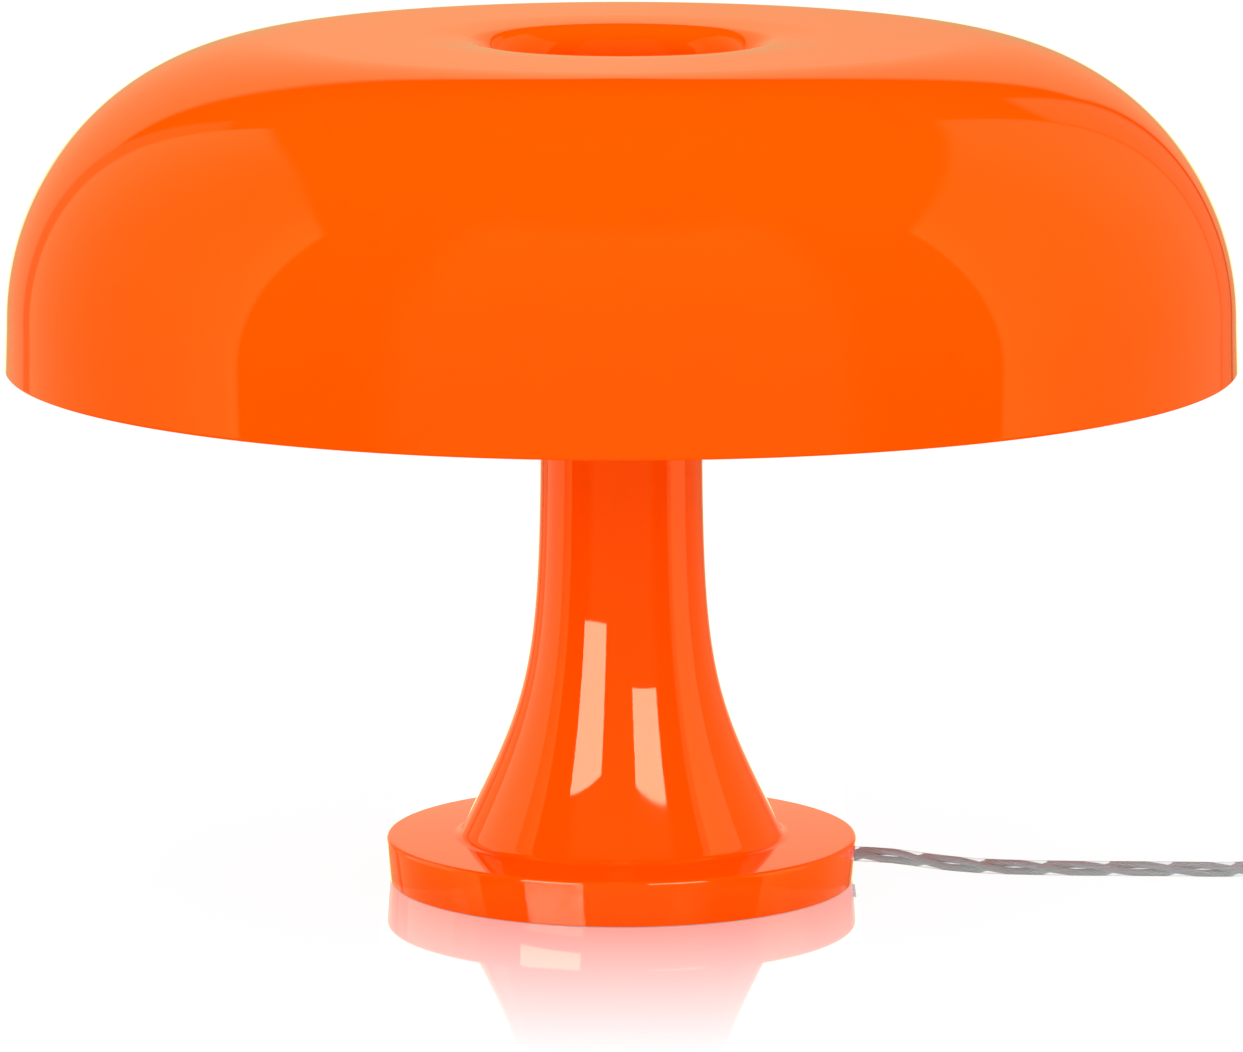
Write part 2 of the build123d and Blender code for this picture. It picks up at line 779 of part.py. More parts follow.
# Shade: the outer line from the rim over the shoulder, the dip and the lip, then the well's line
floor_top = shade_floor + shade_wall
shade_top = floor_top + well_depth
shade_rim_height = shade_top - shade_height
shoulder_height = shade_top - shoulder_radius
shoulder_start = shade_rim_radius - shoulder_taper
shoulder_middle = shoulder_start - shoulder_radius
slope = radians(dip_slope)
taper = radians(well_taper)
lip_start = well_radius + lip_radius * (cos(taper) - sin(slope))
dip_arc = (dip_radius - lip_start) / sin(slope)
lip_top = shade_top - dip_arc * (1 - cos(slope))
well_top = lip_top - lip_radius * (cos(slope) - sin(taper))
well_floor_radius = well_radius - (well_top - floor_top) * tan(taper)

with BuildPart() as shade:
    with BuildSketch(Plane.XZ):
        with BuildLine():
            with BuildLine(mode=Mode.PRIVATE) as outer_line:
                Line((shade_rim_radius, shade_rim_height), (shoulder_start, shoulder_height))
                RadiusArc((shoulder_start, shoulder_height), (shoulder_middle, shade_top), -shoulder_radius)
                Line((shoulder_middle, shade_top), (dip_radius, shade_top))
                RadiusArc((dip_radius, shade_top), (lip_start, lip_top), -dip_arc)
                RadiusArc((lip_start, lip_top), (well_radius, well_top), -lip_radius)
            offset(outer_line.line, amount=shade_wall, side=Side.LEFT)
        make_face()
    revolve(axis=Axis.Z)
    fillet(shade.edges().filter_by(GeomType.CIRCLE).group_by(Axis.Z)[0], shade_rim_fillet)
shade.part.label = "shade"
export_step(shade.part, "parts/shade.step")

# Well of the shade: it carries on from the lip and stands on the gasket
with BuildPart() as shade_well:
    with BuildSketch(Plane.XZ):
        with BuildLine():
            with BuildLine(mode=Mode.PRIVATE) as well_line:
                FilletPolyline(
                    (well_radius, well_top),
                    (well_floor_radius, floor_top),
                    (bore_radius + 2 * slip, floor_top),
                    radius=well_corner - shade_wall,
                )
            offset(well_line.line, amount=shade_wall, side=Side.LEFT)
        make_face()
    revolve(axis=Axis.Z)
shade_well.part.label = "shade_well"
export_step(shade_well.part, "parts/shade_well.step")

# Screw cap: fluted for the fingers, bored from below for the conduit's end
knob_bottom = floor_top + seat

with BuildPart() as shade_cap:
    with BuildSketch(Plane.XY.offset(knob_bottom)):
        Circle(knob_radius)
    extrude(amount=knob_height)
    fillet(shade_cap.edges().group_by(Axis.Z)[-1], knob_edge)
    with BuildSketch(Plane.XY.offset(knob_bottom)):
        with PolarLocations(knob_radius + knob_flute_radius / 2, knob_flutes):
            Circle(knob_flute_radius)
    extrude(amount=knob_height, mode=Mode.SUBTRACT)
    with BuildSketch(Plane.XY.offset(knob_bottom)):
        Circle(bore_radius)
    extrude(amount=knob_height - knob_skin, mode=Mode.SUBTRACT)
shade_cap.part.label = "shade_cap"
export_step(shade_cap.part, "parts/shade_cap.step")

# Hand switch: two shells that meet at the cord's height, a rocker on two pins and the shells' screws
switch_split = switch_height / 2
switch_middle = switch_start + switch_length / 2
switch_plane = Plane(origin=(switch_middle, 0, 0))
rocker_plane = Plane(origin=(switch_middle, 0, switch_pivot), x_dir=(1, 0, 0), z_dir=(0, -1, 0))
switch_screw_places = [(side * (switch_length / 2 - switch_screw_inset), 0) for side in (-1, 1)]


def switch_shell(bottom, top):
    """A solid slice of the switch's outline between two heights, bored for the cord at both ends."""
    with BuildPart() as shell:
        with BuildSketch(switch_plane):
            RectangleRounded(switch_length, switch_width, switch_corner)
        extrude(amount=switch_height)
        fillet(shell.edges().group_by(Axis.Z)[0] + shell.edges().group_by(Axis.Z)[-1], switch_edge)
        with BuildSketch(Plane(origin=(switch_start - slip, 0, switch_split), z_dir=(1, 0, 0))):
            Circle(cord_radius + slip)
        extrude(amount=switch_length + 2 * slip, mode=Mode.SUBTRACT)
        split(bisect_by=Plane.XY.offset(bottom), keep=Keep.TOP)
        split(bisect_by=Plane.XY.offset(top), keep=Keep.BOTTOM)
    return shell.part


switch_room_length = 2 * (rocker_reach + free)
switch_room_width = switch_width - 3 * switch_wall
with BuildPart() as switch_base:
    add(switch_shell(0, switch_split))
    with BuildSketch(switch_plane.offset(switch_wall)):
        RectangleRounded(switch_room_length + switch_room_spare, switch_room_width, switch_room_corner)
    extrude(amount=switch_split, mode=Mode.SUBTRACT)
    with BuildSketch(switch_plane):
        with Locations(*switch_screw_places):
            Circle(clamp_screw_radius + slip)
    extrude(amount=switch_split, mode=Mode.SUBTRACT)
    with BuildSketch(switch_plane):
        with Locations(*switch_screw_places):
            Circle(clamp_screw_head_radius + slip)
    extrude(amount=switch_wall, mode=Mode.SUBTRACT)
switch_base.part.label = "switch_base"
export_step(switch_base.part, "parts/switch_base.step")

with BuildPart() as switch_top:
    add(switch_shell(switch_split, switch_height))
    with BuildSketch(switch_plane):
        Rectangle(switch_room_length, rocker_width + 2 * free)
    extrude(amount=switch_height, mode=Mode.SUBTRACT)
    with BuildSketch(rocker_plane.offset(-switch_width / 2 + switch_wall)):
        Circle(rocker_pin_radius + running)
    extrude(amount=switch_width - 2 * switch_wall, mode=Mode.SUBTRACT)
    with BuildSketch(switch_plane):
        with Locations(*switch_screw_places):
            Circle(clamp_screw_radius + slip)
    extrude(amount=switch_height - switch_wall - switch_screw_head, mode=Mode.SUBTRACT)
switch_top.part.label = "switch_top"
export_step(switch_top.part, "parts/switch_top.step")

with BuildPart() as switch_screws:
    with BuildSketch(switch_plane.offset(switch_wall)):
        with Locations(*switch_screw_places):
            Circle(clamp_screw_radius)
    extrude(amount=switch_height - 2 * switch_wall - switch_screw_short)
    with BuildSketch(switch_plane.offset(switch_wall)):
        with Locations(*switch_screw_places):
            Circle(clamp_screw_head_radius)
    extrude(amount=-switch_screw_head)
switch_screws.part.label = "switch_screws"
export_step(switch_screws.part, "parts/switch_screws.step")

with BuildPart() as rocker:
    with BuildSketch(rocker_plane.offset(-rocker_width / 2)):
        Circle(rocker_reach)
        with Locations((0, rocker_crown - rocker_reach)):
            Rectangle(2 * rocker_reach, 2 * rocker_reach, mode=Mode.INTERSECT)
        with Locations((0, rocker_reach - rocker_below)):
            Rectangle(2 * rocker_reach, 2 * rocker_reach, mode=Mode.INTERSECT)
        with Locations((0, rocker_crown + 2 * rocker_reach)):
            Circle(2 * rocker_reach + rocker_dish, mode=Mode.SUBTRACT)
    extrude(amount=rocker_width)
    with BuildSketch(rocker_plane.offset(-rocker_width / 2 - rocker_pin_reach)):
        Circle(rocker_pin_radius)
    extrude(amount=rocker_width + 2 * rocker_pin_reach)
pressed = rocker.part.rotate(Axis(rocker_plane.origin, (0, 1, 0)), rocker_tilt)
pressed.label = "rocker"
export_step(pressed, "parts/rocker.step")

# Cord: from the clamp through the foot's side and down to the table, then to the switch
lead_route = [
    exit_point(clamp_distance - clamp_length),
    exit_point(disc_top_radius + exit_straight),
    (88, 5.8, cord_rest),
    (112, 2.0, cord_rest),
    (144, 1.4, cord_rest),
    (169, -0.4, cord_rest),
    (189, 0, switch_split),
    (switch_start, 0, switch_split),
]

switch_end = switch_start + switch_length
coil_height = tie_thickness + tie_clear + cord_radius
middle_route = [
    (switch_end, 0, switch_split),
    (switch_end + middle_straight, 0, switch_split),
    (switch_end + middle_straight + middle_drop, 0, coil_height),
    (coil_x - 2 * cord_radius, 0, coil_height),
]

# Coil: the turns spiral in and out a layer at a time, and climb where the spiral turns back
swing = coil_pitch * coil_wind_quarters / 4
coil_outer = coil_mid_radius + swing / 2
coil_inner = coil_mid_radius - swing / 2
coil_middle = Vector(coil_x, coil_outer, 0)
layer_quarters = coil_wind_quarters + coil_climb_quarters
last_quarter = coil_layers * layer_quarters - coil_climb_quarters


def coil_mark(quarter):
    """The coil's point and direction after this many quarter turns."""
    layer, done = divmod(quarter, layer_quarters)
    inward = layer % 2 == 0
    start = coil_outer if inward else coil_inner
    sign = -1 if inward else 1
    radius = start + sign * coil_pitch * min(done, coil_wind_quarters) / 4
    height = coil_height + layer * coil_pitch
    rate = sign * coil_pitch / (2 * pi)
    climb = 0
    if done > coil_wind_quarters:
        radius += sign * coil_pitch / 8
        height += coil_pitch / 2
        rate = 0
        climb = coil_pitch / 2
    if quarter in (0, last_quarter):
        rate = 0
    turn = pi / 2 * (quarter - 1)
    outward = Vector(cos(turn), sin(turn), 0)
    onward = Vector(-sin(turn), cos(turn), 0)
    place = coil_middle + outward * radius + Vector(0, 0, height)
    return place, (onward * radius + outward * rate + Vector(0, 0, climb)).normalized()


def biarc(place, onward, next_place, next_onward):
    """Where two arcs that leave and arrive in these directions meet, and the direction there."""
    across = next_place - place
    along = across.dot(onward + next_onward)
    spread = 2 * (1 - onward.dot(next_onward))
    reach = (-along + (along**2 + spread * across.dot(across)) ** 0.5) / spread
    joint = (place + next_place + (onward - next_onward) * reach) * 0.5
    return joint, (across - (onward + next_onward) * reach).normalized()


with BuildPart() as cord_coil:
    with BuildLine() as turns:
        place, onward = coil_mark(0)
        Line(place - onward * 2 * cord_radius, place)
        for quarter in range(last_quarter):
            next_place, next_onward = coil_mark(quarter + 1)
            joint, joint_onward = biarc(place, onward, next_place, next_onward)
            TangentArc(place, joint, tangent=onward)
            TangentArc(joint, next_place, tangent=joint_onward)
            place, onward = next_place, next_onward
        Line(place, place + onward * 2 * cord_radius)
    coil_path = turns.wire()
    with BuildSketch(Plane(origin=coil_path @ 0, z_dir=coil_path % 0)):
        Circle(cord_radius)
    sweep(path=coil_path)
cord_coil.part.label = "cord_coil"
export_step(cord_coil.part, "parts/cord_coil.step")

# The coil's least gap to itself, between points a millimetre or so apart
mark_spacing = 1.2
mark_count = int(coil_path.length / mark_spacing)
marks = [coil_path @ (i / mark_count) for i in range(mark_count + 1)]
skip = int(6 * cord_radius / mark_spacing)
nearest = min(
    (marks[i] - marks[j]).length for i in range(len(marks)) for j in range(i + skip, len(marks))
)
print("cord_coil least gap to itself", round(nearest - 2 * cord_radius, 2))
print("cord_coil length", round(coil_path.length, 1), "quarter turns", last_quarter)
coil_ratio = cord_coil.part.volume / (pi * cord_radius**2 * coil_path.length)
print("cord_coil volume over section times length", round(coil_ratio, 4))

# A tie round the whole bundle of turns
tie_inside = coil_inner - coil_pitch / 8 - cord_radius - tie_clear
tie_outside = coil_outer + coil_pitch / 8 + cord_radius + tie_clear
tie_low = coil_height - cord_radius - tie_clear
tie_high = coil_height + (coil_layers - 1) * coil_pitch + cord_radius + tie_clear

with BuildPart() as coil_tie:
    tie_start = (coil_x, coil_outer - tie_width / 2, 0)
    with BuildSketch(Plane(origin=tie_start, x_dir=(1, 0, 0), z_dir=(0, 1, 0))):
        with Locations(((tie_inside + tie_outside) / 2, -(tie_low + tie_high) / 2)):
            RectangleRounded(
                tie_outside - tie_inside + 2 * tie_thickness,
                tie_high - tie_low + 2 * tie_thickness,
                cord_radius + tie_thickness,
            )
            RectangleRounded(
                tie_outside - tie_inside,
                tie_high - tie_low,
                cord_radius,
                mode=Mode.SUBTRACT,
            )
    extrude(amount=tie_width)
coil_tie.part.label = "coil_tie"
export_step(coil_tie.part, "parts/coil_tie.step")

# Tail: from the top of the coil down to the plug, which lies flat on the table
coil_last, coil_onward = coil_mark(last_quarter)
tail_start = coil_last + coil_onward * 2 * cord_radius
plug_height = plug_thickness / 2
tail_route = [
    tail_start,
    tail_start - Vector(tail_straight, 0, 0),
    Vector(tail_start.X - tail_straight - tail_drop, tail_start.Y, plug_height),
    Vector(tail_start.X - 2 * tail_straight - tail_drop, tail_start.Y, plug_height),
]
relief_end = tail_route[-1]
plug_back = relief_end - Vector(relief_length, 0, 0)
plug_face = plug_back - Vector(plug_length, 0, 0)

cord_length = cord_tube("cord_lead", lead_route)
cord_length += cord_tube("cord_middle", middle_route)
cord_length += cord_tube("cord_tail", tail_route)
cord_length += coil_path.length + switch_length
print("cord length with the coil and through the switch", round(cord_length, 1))


def across_plug(at):
    """The plane square to the plug at this point: its x runs across the plug."""
    return Plane(origin=at, x_dir=(0, 1, 0), z_dir=(-1, 0, 0))


with BuildPart() as plug_body:
    with BuildSketch(across_plug(plug_back)):
        RectangleRounded(plug_neck_width, plug_neck_thickness, plug_neck_thickness / 2 - slip)
    with BuildSketch(across_plug(plug_back - Vector(plug_length / 2, 0, 0))):
        RectangleRounded(plug_waist_width, plug_waist_thickness, plug_waist_thickness / 2 - slip)
    with BuildSketch(across_plug(plug_face)):
        RectangleRounded(plug_face_width, plug_thickness, plug_thickness / 2 - slip)
    loft()
    with BuildSketch(across_plug(relief_end)):
        Circle(relief_end_radius)
    with BuildSketch(across_plug(plug_back)):
        Circle(relief_radius)
    loft()
    for groove in range(1, relief_grooves + 1):
        groove_at = plug_back + Vector(relief_length * groove / (relief_grooves + 1), 0, 0)
        with BuildSketch(across_plug(groove_at)):
            Circle(relief_radius + slip)
            Circle(relief_end_radius - relief_groove_depth, mode=Mode.SUBTRACT)
        extrude(amount=relief_groove_width, mode=Mode.SUBTRACT)
plug_body.part.label = "plug_body"
export_step(plug_body.part, "parts/plug_body.step")

pin_places = [(-plug_pin_spacing / 2, 0), (plug_pin_spacing / 2, 0)]
face_plane = across_plug(plug_face)
with BuildPart() as plug_sleeves:
    with BuildSketch(face_plane):
        with Locations(*pin_places):
            Circle(plug_pin_radius)
            Circle(plug_core_radius + running, mode=Mode.SUBTRACT)
    extrude(amount=plug_sleeve_length)
plug_sleeves.part.label = "plug_sleeves"
export_step(plug_sleeves.part, "parts/plug_sleeves.step")

with BuildPart() as plug_pins:
    with BuildSketch(face_plane):
        with Locations(*pin_places):
            Circle(plug_core_radius)
    extrude(amount=plug_sleeve_length)
    with BuildSketch(face_plane.offset(plug_sleeve_length)):
        with Locations(*pin_places):
            Circle(plug_pin_radius)
    extrude(amount=plug_pin_length - plug_sleeve_length)
    fillet(plug_pins.edges().group_by(Axis.X)[0], plug_pin_radius / 2)
plug_pins.part.label = "plug_pins"
export_step(plug_pins.part, "parts/plug_pins.step")
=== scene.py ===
import json
import logging
import math
from contextlib import contextmanager
from dataclasses import dataclass
from enum import Enum
from typing import Callable, Iterator, Sequence

import bmesh
import bpy
from mathutils import Matrix, Vector
from mathutils.geometry import interpolate_bezier


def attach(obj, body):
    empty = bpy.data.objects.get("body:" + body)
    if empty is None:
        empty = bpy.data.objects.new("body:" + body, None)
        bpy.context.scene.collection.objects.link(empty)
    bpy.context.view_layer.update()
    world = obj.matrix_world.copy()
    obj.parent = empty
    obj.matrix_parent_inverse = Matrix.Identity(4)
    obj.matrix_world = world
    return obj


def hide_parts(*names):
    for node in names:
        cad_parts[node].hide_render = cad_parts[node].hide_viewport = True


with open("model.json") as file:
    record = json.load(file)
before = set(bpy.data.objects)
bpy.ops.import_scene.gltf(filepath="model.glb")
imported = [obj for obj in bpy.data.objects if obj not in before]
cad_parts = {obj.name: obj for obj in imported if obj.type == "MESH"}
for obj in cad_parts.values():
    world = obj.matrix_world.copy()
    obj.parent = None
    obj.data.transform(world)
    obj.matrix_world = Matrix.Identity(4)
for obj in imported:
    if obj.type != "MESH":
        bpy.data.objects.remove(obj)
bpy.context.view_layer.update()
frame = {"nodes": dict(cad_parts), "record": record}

# Mushroom table lamp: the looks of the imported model. Lengths in the classes are in millimetres, in the
# frame of the CAD: +Z up, the axis of the lamp at the origin, and the viewer at -Y.

log = logging.getLogger("lamp")
MM = 0.001

Point = tuple[float, float]
Place = tuple[float, float, float]
Colour = tuple[float, float, float]


class Body(Enum):
    """The moving bodies of the lamp that a piece can ride on."""

    BASE = "base"
    SHADE = "shade"
    CAP = "cap"
    ROCKER = "rocker"
    BULB_1 = "bulb_1"
    BULB_2 = "bulb_2"
    BULB_3 = "bulb_3"
    BULB_4 = "bulb_4"


class Slot(Enum):
    """The material slots of the record."""

    ORANGE = "orange_gloss"
    WHITE = "white_plastic"
    BLACK = "black_plastic"
    STEEL = "steel"
    NICKEL = "nickel"
    BRASS = "brass"
    RUBBER = "rubber"
    OPAL = "opal_glass"
    CORD = "clear_cord"


# Hand work: short names for the steps that every piece is made with


def select_only(piece: bpy.types.Object) -> None:
    """Selects one piece and makes it the active one."""
    bpy.ops.object.select_all(action="DESELECT")
    piece.select_set(True)
    bpy.context.view_layer.objects.active = piece


@contextmanager
def editing(piece: bpy.types.Object, mode: str = "VERT") -> Iterator[None]:
    """Opens a piece in edit mode with nothing selected, and closes it again.

    Args:
        piece: The mesh object to edit.
        mode: What is selected in it: VERT, EDGE or FACE.
    """
    select_only(piece)
    bpy.ops.object.mode_set(mode="EDIT")
    bpy.ops.mesh.select_mode(type=mode)
    bpy.ops.mesh.select_all(action="DESELECT")
    yield
    bpy.ops.object.mode_set(mode="OBJECT")


def pick(piece: bpy.types.Object, kind: str, test: Callable[[Vector, Vector], bool]) -> int:
    """Selects faces, edges or vertices of the piece in edit mode by their place and direction.

    Args:
        piece: The mesh object, open in edit mode.
        kind: faces, edges or verts.
        test: Takes the middle of an element and its normal (an edge's own direction) and says yes or no.

    Returns:
        How many were selected.
    """
    mesh = bmesh.from_edit_mesh(piece.data)
    count = 0
    for element in getattr(mesh, kind):
        if kind == "faces":
            middle, way = element.calc_center_median(), element.normal
        elif kind == "edges":
            ends = [vertex.co for vertex in element.verts]
            middle, way = (ends[0] + ends[1]) / 2, (ends[1] - ends[0]).normalized()
        else:
            middle, way = element.co, element.normal
        element.select_set(test(middle, way))
        count += element.select
    bmesh.update_edit_mesh(piece.data)
    return count


def name_piece(piece: bpy.types.Object, name: str) -> bpy.types.Object:
    """Names a piece and its mesh, and returns it."""
    piece.name = name
    piece.data.name = name
    return piece


def smooth(piece: bpy.types.Object, angle: float = 32.0) -> bpy.types.Object:
    """Shades a piece smooth, apart from edges sharper than this angle in degrees, and returns it."""
    select_only(piece)
    bpy.ops.object.shade_smooth_by_angle(angle=math.radians(angle))
    return piece


def tidy_mesh(piece: bpy.types.Object, apart: float = 0.002) -> bpy.types.Object:
    """Merges vertices nearer than this many millimetres, turns the faces outwards and returns the piece."""
    with editing(piece):
        bpy.ops.mesh.select_all(action="SELECT")
        bpy.ops.mesh.remove_doubles(threshold=apart * MM)
        bpy.ops.mesh.normals_make_consistent(inside=False)
    return piece


def settle(piece: bpy.types.Object, matrix: Matrix | None = None) -> bpy.types.Object:
    """Moves a piece's mesh to its place and leaves its object at the origin, unturned and unscaled."""
    select_only(piece)
    if matrix is not None:
        piece.matrix_world = matrix @ piece.matrix_world
    bpy.ops.object.transform_apply(location=True, rotation=True, scale=True)
    return piece


def twin(piece: bpy.types.Object, name: str, matrix: Matrix) -> bpy.types.Object:
    """Copies a piece with its own mesh, and puts the copy where the matrix takes it."""
    select_only(piece)
    bpy.ops.object.duplicate(linked=False)
    return settle(name_piece(bpy.context.active_object, name), matrix)


def join(name: str, pieces: Sequence[bpy.types.Object]) -> bpy.types.Object:
    """Joins pieces into one object with this name."""
    select_only(pieces[0])
    for piece in pieces[1:]:
        piece.select_set(True)
    bpy.ops.object.join()
    return name_piece(bpy.context.active_object, name)


def finish_with(piece: bpy.types.Object, kind: str, **values: object) -> bpy.types.Object:
    """Adds a modifier with these values to a piece and applies it."""
    modifier = piece.modifiers.new(kind.lower(), kind)
    for key, value in values.items():
        setattr(modifier, key, value)
    select_only(piece)
    bpy.ops.object.modifier_apply(modifier=modifier.name)
    return piece


def carve(piece: bpy.types.Object, tool: bpy.types.Object) -> bpy.types.Object:
    """Cuts a tool's shape out of a piece and removes the tool."""
    finish_with(piece, "BOOLEAN", operation="DIFFERENCE", solver="EXACT", object=tool)
    bpy.data.objects.remove(tool)
    return piece


def rod(name: str, radius: float, length: float, matrix: Matrix, sides: int = 48) -> bpy.types.Object:
    """A plain rod along Z from the matrix's origin, in millimetres, used to cut holes and flutes."""
    bpy.ops.object.select_all(action="DESELECT")
    bpy.ops.mesh.primitive_cylinder_add(
        vertices=sides, radius=radius * MM, depth=length * MM, location=(0, 0, length / 2 * MM)
    )
    return settle(name_piece(bpy.context.active_object, name), matrix)


def shift(x: float, y: float, z: float) -> Matrix:
    """A move by these millimetres."""
    return Matrix.Translation((x * MM, y * MM, z * MM))


def turned(angle: float, axis: str) -> Matrix:
    """A turn of this many degrees round X, Y or Z."""
    return Matrix.Rotation(math.radians(angle), 4, axis)


def along_ray(azimuth: float, distance: float, height: float) -> Matrix:
    """Takes a piece turned round Z to the horizontal ray at this azimuth, its Z pointing outward."""
    return turned(azimuth, "Z") @ shift(distance, 0, height) @ turned(90, "Y")


class Outline:
    """A line of vertices in the plane of X and Z, drawn point by point and then spun round the Z axis."""

    def __init__(self, name: str, start: Point) -> None:
        """Puts the first vertex down, from a plane merged to its middle."""
        bpy.ops.object.select_all(action="DESELECT")
        bpy.ops.mesh.primitive_plane_add(size=MM, location=(0, 0, 0))
        self.piece = name_piece(bpy.context.active_object, name)
        bpy.ops.object.mode_set(mode="EDIT")
        bpy.ops.mesh.select_mode(type="VERT")
        bpy.ops.mesh.select_all(action="SELECT")
        bpy.ops.mesh.merge(type="CENTER")
        bpy.ops.transform.translate(value=(start[0] * MM, 0, start[1] * MM))
        self.end = start

    def line(self, *points: Point) -> "Outline":
        """Draws on to these points."""
        for point in points:
            step = ((point[0] - self.end[0]) * MM, 0, (point[1] - self.end[1]) * MM)
            bpy.ops.mesh.extrude_vertices_move(TRANSFORM_OT_translate={"value": step})
            self.end = point
        return self

    def arc(self, centre: Point, radius: float, start: float, stop: float, steps: int) -> "Outline":
        """Draws an arc, from one angle to another in degrees, counted from +X towards +Z."""
        return self.line(*arc_points(centre, radius, start, stop, steps))

    def turn(self, steps: int = 96, angle: float = 32.0) -> bpy.types.Object:
        """Spins the line once round the Z axis, closes its seam and poles, and returns the piece."""
        bpy.ops.mesh.select_all(action="SELECT")
        bpy.ops.mesh.spin(steps=steps, angle=2 * math.pi, center=(0, 0, 0), axis=(0, 0, 1))
        bpy.ops.object.mode_set(mode="OBJECT")
        return smooth(tidy_mesh(self.piece), angle)


def arc_points(centre: Point, radius: float, start: float, stop: float, steps: int) -> list[Point]:
    """The points of an arc, from one angle to another in degrees."""
    points = []
    for step in range(steps + 1):
        angle = math.radians(start + (stop - start) * step / steps)
        points.append((centre[0] + radius * math.cos(angle), centre[1] + radius * math.sin(angle)))
    return points


def bezier_points(ends: tuple[Point, Point], handles: tuple[Point, Point], steps: int) -> list[Point]:
    """The points of a cubic curve between two ends with their two handles."""
    knots = [Vector((*point, 0)) for point in (ends[0], handles[0], handles[1], ends[1])]
    return [(point.x, point.y) for point in interpolate_bezier(*knots, steps)]


# Nodes: short calls that add and link them


class NodeSheet:
    """The node tree of one material, group or world."""

    def __init__(self, tree: bpy.types.NodeTree) -> None:
        """Clears the tree."""
        self.tree = tree
        tree.nodes.clear()

    def node(self, kind: str, inputs: dict | None = None, **settings: object) -> bpy.types.Node:
        """Adds a node, sets its settings, and gives each named or numbered input a value or a link.

        Args:
            kind: The node's type.
            inputs: Values, or output sockets to link from, by the input's name or number.
            **settings: Settings of the node itself, such as operation or data_type.

        Returns:
            The node.
        """
        node = self.tree.nodes.new(kind)
        for key, value in settings.items():
            setattr(node, key, value)
        for key, value in (inputs or {}).items():
            if isinstance(value, bpy.types.NodeSocket):
                self.tree.links.new(value, node.inputs[key])
            else:
                node.inputs[key].default_value = value
        return node

    def math(self, operation: str, *values: object) -> bpy.types.NodeSocket:
        """Adds a Math node and returns its output."""
        return self.node("ShaderNodeMath", dict(enumerate(values)), operation=operation).outputs[0]

    def ramp(self, value: bpy.types.NodeSocket, low: float, high: float, start: float = 0.0,
             stop: float = 1.0) -> bpy.types.NodeSocket:
        """Maps a value smoothly from one range to another and returns the output."""
        node = self.node("ShaderNodeMapRange", {0: value, 1: low, 2: high, 3: start, 4: stop},
                         interpolation_type="SMOOTHSTEP")
        return node.outputs[0]

    def blend(self, factor: object, first: object, second: object) -> bpy.types.NodeSocket:
        """Mixes two colours and returns the output."""
        node = self.node("ShaderNodeMix", {0: factor, 6: first, 7: second}, data_type="RGBA")
        return node.outputs[2]


def start_group(name: str, inputs: dict[str, float | Colour],
                outputs: dict[str, str]) -> tuple[NodeSheet, bpy.types.Node, bpy.types.Node]:
    """Starts a shader node group.

    Args:
        name: The group's name.
        inputs: Its inputs by name, each a number or a colour that is the default.
        outputs: Its outputs by name, each Float or Color.

    Returns:
        The sheet of its tree, its input node and its output node.
    """
    group = bpy.data.node_groups.new(name, "ShaderNodeTree")
    for label, value in inputs.items():
        kind = "NodeSocketFloat" if isinstance(value, float) else "NodeSocketColor"
        socket = group.interface.new_socket(label, in_out="INPUT", socket_type=kind)
        socket.default_value = value if isinstance(value, float) else (*value, 1.0)
    for label, kind in outputs.items():
        group.interface.new_socket(label, in_out="OUTPUT", socket_type=f"NodeSocket{kind}")
    sheet = NodeSheet(group)
    return sheet, sheet.node("NodeGroupInput"), sheet.node("NodeGroupOutput")


def moulded_skin() -> bpy.types.NodeTree:
    """The group for the skin of a moulded piece: its slight waves, fine specks and light rubbing.

    Returns:
        The group. Its outputs are the colour, the roughness and the height for a Bump node.
    """
    sheet, given, result = start_group(
        "moulded_skin",
        {"Colour": (0.8, 0.8, 0.8), "Worn Colour": (0.7, 0.7, 0.7), "Roughness": 0.3, "Spread": 0.05,
         "Wave Size": 20.0, "Speck Size": 1400.0, "Speck Height": 0.2},
        {"Colour": "Color", "Roughness": "Float", "Height": "Float"},
    )
    place = sheet.node("ShaderNodeTexCoord").outputs["Object"]
    waves = sheet.node("ShaderNodeTexNoise", {"Vector": place, "Scale": given.outputs["Wave Size"],
                                              "Detail": 1.0, "Roughness": 0.4}).outputs["Fac"]
    specks = sheet.node("ShaderNodeTexNoise", {"Vector": place, "Scale": given.outputs["Speck Size"],
                                               "Detail": 2.0}).outputs["Fac"]
    rubs = sheet.node("ShaderNodeTexNoise", {"Vector": place, "Scale": 55.0, "Detail": 6.0,
                                             "Roughness": 0.65, "Distortion": 0.6}).outputs["Fac"]
    worn = sheet.ramp(rubs, 0.5, 0.75)
    colour = sheet.blend(worn, given.outputs["Colour"], given.outputs["Worn Colour"])
    rougher = sheet.math("MULTIPLY", worn, given.outputs["Spread"])
    fine = sheet.math("MULTIPLY", specks, given.outputs["Speck Height"])
    sheet.tree.links.new(colour, result.inputs["Colour"])
    sheet.tree.links.new(sheet.math("ADD", given.outputs["Roughness"], rougher), result.inputs["Roughness"])
    sheet.tree.links.new(sheet.math("ADD", waves, fine), result.inputs["Height"])
    return sheet.tree


